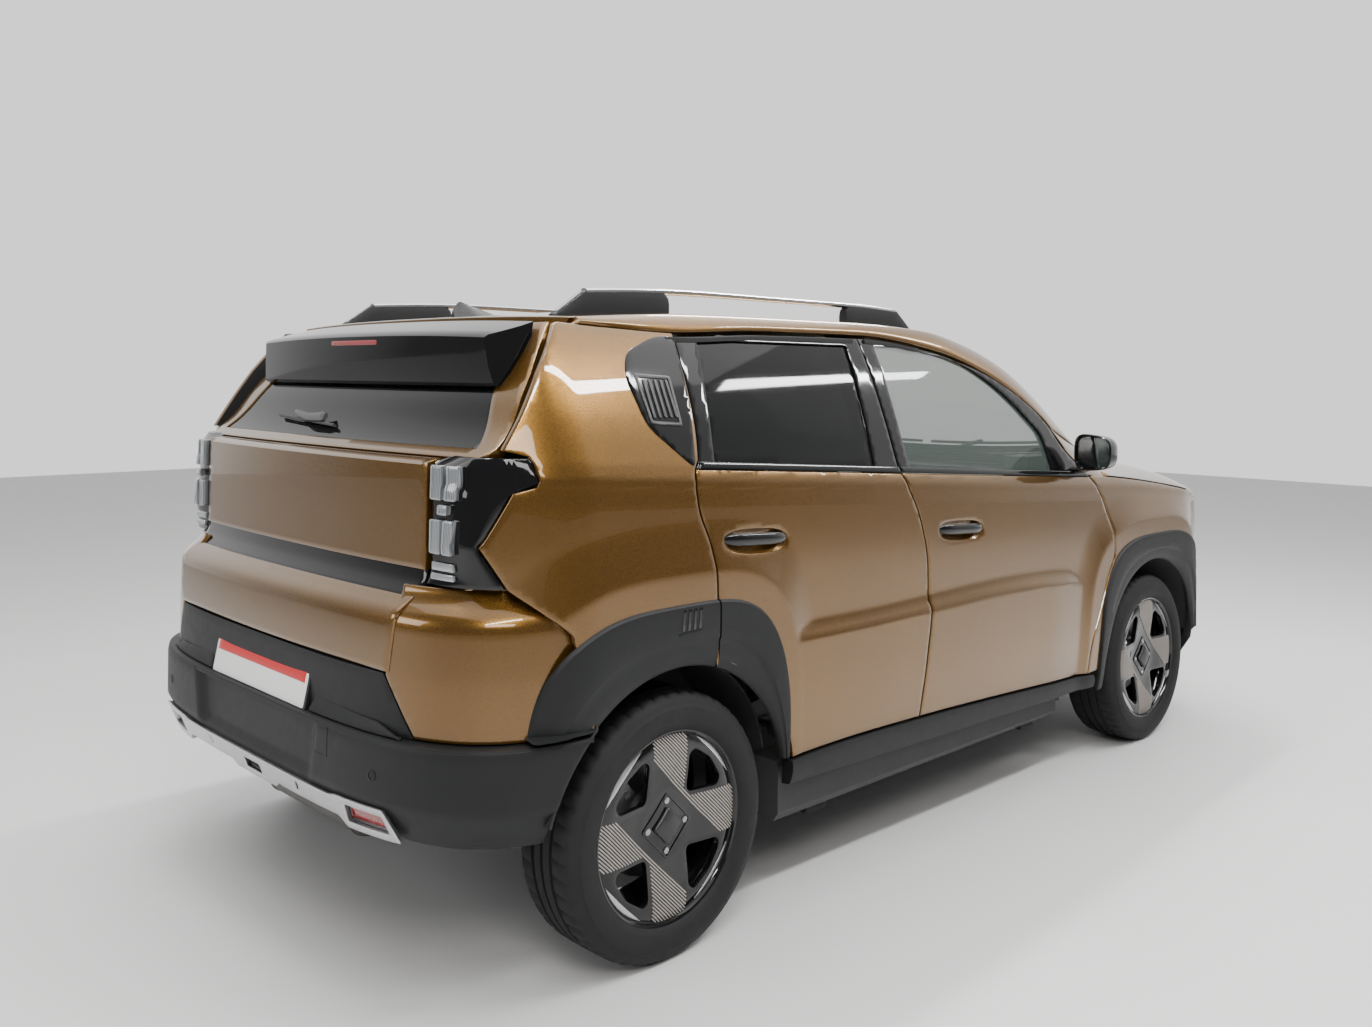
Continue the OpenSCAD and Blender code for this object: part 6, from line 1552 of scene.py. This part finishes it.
bench = sewn(bench, [lambda p, y=y: (p[:, 1] - y) + 9e3 * (p[:, 2] < 440) for y in (-300, -95, 95, 300)] +
             [lambda p, x=x: (p[:, 0] - x) + 9e3 * ((p[:, 2] < 440) | (np.abs(p[:, 1]) > 490)) for x in (-850, -700)])
bench_back = swollen(pad([(-1018, 520), (-1072, 700), (-1128, 900), (-1176, 1066)], (508, 510, 486), (40, 38, 26),
    8.0, m=70), 10.0, 22.0)
bench_back = sewn(bench_back,
    [lambda p, y=y: (p[:, 1] - y) + 9e3 * (p[:, 0] < np.interp(p[:, 2], [520, 700, 900, 1066],
    [-1018, -1072, -1128, -1176]))
                               for y in (-300, -95, 95, 300)])
soft("bench_cushion", bench, node="rear_seat")
soft("bench_back", bench_back, node="rear_seat")

frames = Parts()
for y0 in (SEAT_Y - 150, SEAT_Y + 150):
    rail = columns(np.linspace(-220, 250, 12), np.full(12, y0), np.full(12, 292.0))
    frames.add(sweep(knots([(16, -14), (16, 14), (8, 20), (-16, 20), (-16, -20), (8, -20)]), rail, (0, 0, 1)), 1)
    leg = knots([(-200, 306), (230, 306), (222, 352), (150, 372), (-120, 372), (-215, 350)])
    frames.add(panel(rounded(leg, 16), lambda p, d, y0=y0: columns(p[:, 0], np.full(len(p), y0 + 12.0) - d, p[:, 1]),
        24, step=22, roll=3.0))
hood = rounded(knots([(-232, 330), (60, 330), (44, 398), (-120, 412), (-236, 470)]), 20)
for s_ in (-1, 1):
    frames.add(panel(hood, lambda p, d, s_=s_: columns(p[:, 0], SEAT_Y + s_ * (249.0 - d), p[:, 1]), 14, step=22,
        roll=4.0))
for y0 in (SEAT_Y - 52, SEAT_Y + 52):
    frames.add(tube(columns(np.linspace(-356, -344, 6), np.full(6, y0), np.linspace(1040, 1140, 6)), 6.5, 12,
        way=(1, 0, 0)), 2)
frames.both().object("seat_frames", (trim, steel, chrome), "shell", stand_for=("front_seats",))

# Dashboard: a smooth profile carried across, with a hood, a dark screen, vents and a shelf
dash_line = rounded(knots([(784, 566), (784, 1022), (700, 1029), (564, 1009), (482, 960), (472, 866), (556, 724),
    (598, 566)]), 26, 6)
y_d = np.linspace(-574, 574, 60)
bow = 14 * (np.abs(y_d) / 574) ** 3
net = np.stack([columns(dash_line[:, 0] + b * (dash_line[:, 0] < 600), np.full(len(dash_line), y),
    dash_line[:, 1]) for y, b in zip(y_d, bow)])
dash = Parts().add(capped(net, 30, len(dash_line) // 2))


def on_dash(raise_=0.0):
    """Lift from across and up to the dashboard's leaning rear face."""
    def lift(p, d):
        x = np.interp(p[:, 1], [724, 866, 960], [556, 472, 482]) - raise_ + d + 14 * (np.abs(p[:, 0]) / 574) ** 3
        return columns(x, p[:, 0], p[:, 1])
    return lift


dash.add(panel(rounded(knots([(-120, 872), (150, 872), (150, 985), (-120, 985)]), 10), on_dash(9.0), 16, step=18,
    roll=3.0), 2)
dash.add(panel(rounded(knots([(-540, 884), (-150, 884), (-150, 936), (-540, 936)]), 18), on_dash(4.0), 10, step=18,
    roll=3.0), 4)
for y0 in (-560, -60, 40, 490):
    box_ = knots([(y0, 800), (y0 + 74, 800), (y0 + 74, 848), (y0, 848)])
    dash.add(panel(rounded(box_, 8), on_dash(3.0), 8, [rounded(inset(wound(box_, 1), 6), 5)], step=12, roll=1.6), 2)
    for k in range(4):
        slat = knots([(y0 + 7, 808 + k * 9), (y0 + 67, 808 + k * 9), (y0 + 67, 812 + k * 9), (y0 + 7, 812 + k * 9)])
        dash.add(panel(slat, on_dash(1.6), 6, step=20, roll=0.8), 2)
hood_path = columns(np.full(30, 0.0), np.linspace(190, 480, 30),
    1006 + 34 * np.sin(np.linspace(0, np.pi, 30)) ** 0.6) + (512, 0, 0)
dash.add(sweep(knots([(6, -52), (12, 0), (6, 60), (-4, 60), (-6, 0), (-4, -52)]), hood_path, (0, 0, 1)), 4)
dash.add(panel(rounded(knots([(205, 925), (465, 925), (465, 1018), (205, 1018)]), 14), lambda p,
    d: columns(506 + 0.2 * (p[:, 1] - 925) + d, p[:, 0], p[:, 1]), 8, step=20, roll=2.0), 2)
axis, up_way, left_way = np.array([-math.cos(math.radians(24)), 0,
    math.sin(math.radians(24))]), np.array([math.sin(math.radians(24)), 0, math.cos(math.radians(24))]), np.array([0,
    1.0, 0])
post_at = np.array([470.0, SEAT_Y, 925.0])
shroud = post_at + np.linspace(-70, 90, 12)[:, None] * axis
oval_ = columns(np.cos(np.linspace(0, 2 * np.pi, 20, endpoint=False)) * 34,
    np.sin(np.linspace(0, 2 * np.pi, 20, endpoint=False)) * 42)
dash.add(sweep(oval_, shroud, up_way), 4)
for s_ in (-1, 1):
    lever = post_at + 60 * axis + s_ * np.linspace(30, 150, 10)[:, None] * left_way + np.linspace(0, 14, 10)[:,
        None] * up_way
    dash.add(tube(lever, 8.5, 10), 4)
dash.object("dash_parts", (beige, beige, black, black, trim, trim), "shell", stand_for=("dashboard",), slot="dash")

# Steering wheel: rim, soft-cornered boss and three flared spokes
wheel_at = post_at + 122 * axis
a = np.linspace(0, 2 * np.pi, 96, endpoint=False)
rim_path = wheel_at + 165 * (np.cos(a)[:, None] * left_way + np.sin(a)[:, None] * up_way)
steer = Parts().add(sweep(columns(np.cos(a[::6]), np.sin(a[::6])) * (13.6, 14.0), rim_path, axis, True))


def on_steer(raise_=0.0):
    """Lift to the steering wheel's hub: a shallow dome across its axis."""
    def lift(p, d):
        crown = 16 * np.clip(1 - (np.hypot(p[:, 0], p[:, 1]) / 78) ** 2, 0, 1)
        return wheel_at + p[:, :1] * left_way + p[:, 1:] * up_way + (raise_ + crown - d)[:, None] * axis
    return lift


steer.add(panel(oval(0, 0, 70, 60, power=3.0, n=44), on_steer(6.0), 24, step=12, roll=5.0), 2)
for b in (0, 180, 270):
    m = np.array([(math.cos(math.radians(b)), math.sin(math.radians(b))),
        (-math.sin(math.radians(b)), math.cos(math.radians(b)))])
    arm_ = rounded(knots([(52, -26), (110, -15), (158, -19), (158, 19), (110, 15), (52, 26)]), 6) @ m
    steer.add(panel(arm_, on_steer(3.0), 14, step=14, roll=3.0), 0)
    key = rounded(knots([(86, -11), (128, -9), (128, 9), (86, 11)]), 5) @ m
    steer.add(panel(key, on_steer(5.0), 4, step=10, roll=1.2), 4)
steer.object("steering_rim", (satin, satin, trim, trim, black, black), "steering", stand_for=("steering_wheel",),
    sharp=44)

# Rockers with jacking pads and the middle posts between the doors
frame_part = Parts()
x_r = np.linspace(-926, 541, 60)
high_r = np.interp(x_r, [-926, -355, 541], [376, 376, 333])
loop_y = np.array([690, 690, 700, 796, 806, 806, 790, 706])
loop_z = np.array([0.12, 0.94, 1.0, 1.0, 0.92, 0.14, 0.0, 0.0])
net = columns(np.broadcast_to(x_r[:, None], (60, 8)), np.broadcast_to(loop_y[None], (60, 8)),
    215 + (high_r - 215)[:, None] * loop_z[None])
frame_part.add(capped(net, 30, 4, (0, 1, 0)))
for x0 in (420, -720):
    pad_loop = rounded(knots([(x0 - 44, 727), (x0 + 44, 727), (x0 + 44, 769), (x0 - 44, 769)]), 7)
    pad_hole = rounded(knots([(x0 - 22, 741), (x0 + 22, 741), (x0 + 22, 755), (x0 - 22, 755)]), 5)
    frame_part.add(panel(pad_loop, lambda p, d: columns(p[:, 0], p[:, 1], 186.5 + d), 30, [pad_hole], step=14,
        roll=3.0), 1)
z_p = np.linspace(332, 1500, 50)
x_p = columns(np.full(50, -317.0), np.full(50, -330.0), np.full(50, -463.0), np.full(50, -476.0))
set_p = np.interp(z_p, [0, 1060, 1150, 1600], [98, 98, 62, 62])
y_p = side(x_p, np.minimum(z_p, 1510)[:, None]) - set_p[:, None] - np.array([8, 0, 0, 8])[None]
post = columns(x_p, y_p, np.broadcast_to(z_p[:, None], (50, 4)))
frame_part.add(shell(post, post - (0, 38, 0)), 2)
frame_part.both().object("rocker_frames", (under, rubber, trim), "shell", stand_for=("side_frames",))

# Exhaust: a bent pipe, a silencer with rolled seams and its hanger
pipe = Parts()
run = knots([(722, 0, 164), (300, 0, 164), (-600, 0, 164), (-1440, 0, 164), (-1520, 0, 166), (-1556, 0, 182),
    (-1573, 0, 214), (-1573, 0, 250)])
pipe.add(tube(smooth_path(run, 60), 25.5, 18, way=(0, 1, 0)))
pipe.add(lathe(knots([(2, -228), (52, -228), (60, -222), (62, -210), (62, 210), (60, 222), (52, 228), (2, 228)]),
    (0.0, 0.0, 0.0), 48))
pts = pipe.points[-1]
u = np.hypot(pts[:, 0], pts[:, 2])
flat = columns(np.sign(pts[:, 0]) * np.abs(pts[:, 0] / 62) ** 0.62 * 164 - 1678, pts[:, 1],
    np.sign(pts[:, 2]) * np.abs(pts[:, 2] / 62) ** 0.7 * 61 + 298)
pipe.points[-1] = flat
for y0 in (-216, 216):
    ring_x, ring_z = np.cos(a[::2]), np.sin(a[::2])
    seam = columns(bent(ring_x, 0.62) * 163 - 1678, np.full(48, y0),
        bent(ring_z, 0.7) * 60 + 298)
    pipe.add(tube(seam, 3.0, 8, True, (0, 1, 0)))
for x0 in (-700.0, 100.0):
    sleeve = columns(np.linspace(x0, x0 + 60, 5), np.zeros(5), np.full(5, 164.0))
    pipe.add(tube(sleeve, 28.5, 18))
pipe.add(tube(knots([(-1678, -108, 350), (-1678, -108, 372), (-1678, -110, 396)]), 8.0, 10, way=(1, 0, 0)))
dull = plastic("exhaust_steel", (0.085, 0.082, 0.078), 0.45, 240.0, 0.25, 0.5, Metallic=0.85)
pipe.object("exhaust_line", (dull,), "shell", stand_for=("exhaust",), slot="exhaust_steel", sharp=50)

# Inner faces of the doors: an arm rest, a map pocket with its rim and a lever
for end, (x0, x1, z0, lean) in {"front": (-240.0, 330.0, 742.0, -0.03),
    "rear": (-940.0, -540.0, 770.0, -0.03)}.items():
    for name, right in SIDES:
        lining = Parts()
        x_a = np.linspace(x0, x1, 26)
        inner = side(x_a, np.full(26, z0)) - 60
        arm_ = columns(x_a, inner - 22, z0 + lean * (x_a - x0))
        prof = knots([(24, -20), (14, 22), (-8, 27), (-26, 22), (-31, 6), (-28, -22), (-8, -32)])
        lining.add(sweep(prof, arm_, (0, 1, 0)), 0)
        pocket = rounded(knots([(x0 + 40, 420), (x1 - 20, 410), (x1, 560), (x0 + 30, 580)]), 30)
        lining.add(panel(pocket, lambda p,
            d: columns(p[:, 0], side(p[:, 0], np.maximum(p[:, 1], 470)) - 76 + d, p[:, 1]), 18, step=24, roll=4.0), 2)
        lever = rounded(knots([(x1 - 110, 838), (x1 - 20, 832), (x1 - 18, 868), (x1 - 108, 872)]), 14)
        lining.add(panel(lever, lambda p, d: columns(p[:, 0], side(p[:, 0], p[:, 1]) - 66 + d, p[:, 1]), 8, step=14,
            roll=2.0), 4)
        lining.object(f"door_lining_{end}_{name}", (trim, trim, beige, beige, chrome, chrome), f"{end}_door_{name}",
            right, stand_for=(f"door_{end}_{name}",))

# Engine's top: a ribbed cover
top_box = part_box("engine_block")
(ex0, ey0, _), (ex1, ey1, ez) = [[value / MM for value in end] for end in top_box]
cover_loop = rounded(knots([(ex0 + 30, ey0 + 60), (ex1 - 30, ey0 + 60), (ex1 - 30, ey1 - 60), (ex0 + 30, ey1 - 60)]),
    26)
bay = Parts().add(panel(cover_loop, lambda p, d: columns(p[:, 0], p[:, 1], ez + 6 - d), 12, step=26, roll=4.0))
for k in range(7):
    y0 = ey0 + 120 + k * (ey1 - ey0 - 240) / 6
    rib = columns(np.linspace(ex0 + 50, ex1 - 50, 12), np.full(12, y0), np.full(12, ez + 7.0))
    bay.add(sweep(knots([(4, -5), (5, 0), (4, 5), (-3, 8), (-3, -8)]), rib, (0, 0, 1)))
bay.object("engine_cover", (satin, satin), "shell")


# What stays as built in CAD gets a procedural look of its own
CAD_LOOKS = {"floor_pan": under, "bulkhead": under, "hinge_posts": under, "wheel_houses": liner,
             "engine_block": cast, "front_subframe": under, "rear_axle": under, "knuckle_left": cast,
             "knuckle_right": cast}
for name, look in CAD_LOOKS.items():
    for k in range(len(frame["nodes"][name].data.materials)):
        frame["nodes"][name].data.materials[k] = look.mat

# Pale floor, soft light and the photo's camera
floor_look = Look("studio_floor", Roughness=0.55)
floor_look.feed("Base Color",
    floor_look.mix(floor_look.noise(1.5, 4.0), (0.64, 0.64, 0.635, 1), (0.68, 0.68, 0.675, 1)))
s = np.linspace(-14000, 14000, 41)
gx, gy = np.meshgrid(s, s, indexing="ij")
gz = 0.0006 * np.maximum(0, np.hypot(gx, gy) - 9000) ** 1.25 - 0.4
ground = Parts().add((columns(gx, gy, gz), quads(41, 41).tolist())).object("floor", (floor_look,), "shell")
world = bpy.data.worlds.new("soft_sky")
bpy.context.scene.world = world
world.use_nodes = True
nodes, links = world.node_tree.nodes, world.node_tree.links
spot, turn, mix_ = nodes.new("ShaderNodeTexCoord"), nodes.new("ShaderNodeVectorMath"), nodes.new("ShaderNodeValToRGB")
turn.operation = "DOT_PRODUCT"
turn.inputs[1].default_value = (0.46, 0.40, 0.20)
mix_.color_ramp.elements[0].color, mix_.color_ramp.elements[1].color = (0.15, 0.152, 0.155, 1), (0.97, 0.97, 0.965, 1)
mix_.color_ramp.elements[0].position, mix_.color_ramp.elements[1].position = 0.05, 0.34
links.new(spot.outputs["Generated"], turn.inputs[0])
links.new(turn.outputs["Value"], mix_.inputs[0])
links.new(mix_.outputs[0], nodes["Background"].inputs[0])
nodes["Background"].inputs[1].default_value = 1.3


def lamp_area(name, place, aim, size, power, colour=(1, 1, 1)):
    """Rectangular area light at a place, turned to a point."""
    data = bpy.data.lights.new(name, "AREA")
    data.shape, data.size, data.size_y, data.energy, data.color = "RECTANGLE", size[0], size[1], power, colour
    obj = bpy.data.objects.new(name, data)
    obj.location = place
    obj.rotation_euler = (Vector(aim) - Vector(place)).to_track_quat("-Z", "Y").to_euler()
    bpy.context.scene.collection.objects.link(obj)


lamp_area("key", (-4.4, -5.0, 4.6), (-0.3, -0.2, 0.7), (3.2, 1.6), 170, (1.0, 0.97, 0.93))
lamp_area("rear_fill", (-7.0, 2.2, 3.0), (-1.0, 0.2, 0.8), (2.6, 2.6), 120)
lamp_area("top", (0.2, -0.4, 5.6), (0.2, -0.4, 0.0), (9.0, 8.0), 330)
for k, (x_, y_) in enumerate(((-2.8, -2.5), (0.2, -2.6), (3.2, -2.7), (-1.4, 0.3), (1.8, 0.3))):
    lamp_area(f"strip_{k}", (x_, y_, 3.6), (x_, y_ * 0.6, 0.0), (2.2, 0.14), 70)
WIDE, TALL = 1372, 1027
camera = bpy.data.cameras.new("camera")
camera.sensor_fit, camera.sensor_width = "HORIZONTAL", 36.0
camera.lens = 36.0 * 1184.0 / WIDE
camera.shift_x, camera.shift_y = (WIDE / 2 - 696.4) / WIDE, (376.4 - TALL / 2) / WIDE
camera.clip_start, camera.clip_end = 0.05, 80.0
eye = bpy.data.objects.new("camera", camera)
eye.location = (-3.282, -2.875, 1.392)
eye.rotation_euler = (Euler((math.pi / 2, 0, math.radians(45.41 - 90)),
    "XYZ").to_matrix() @ Euler((0, 0, math.radians(0.54))).to_matrix()).to_euler()
bpy.context.scene.collection.objects.link(eye)
bpy.context.scene.camera = eye
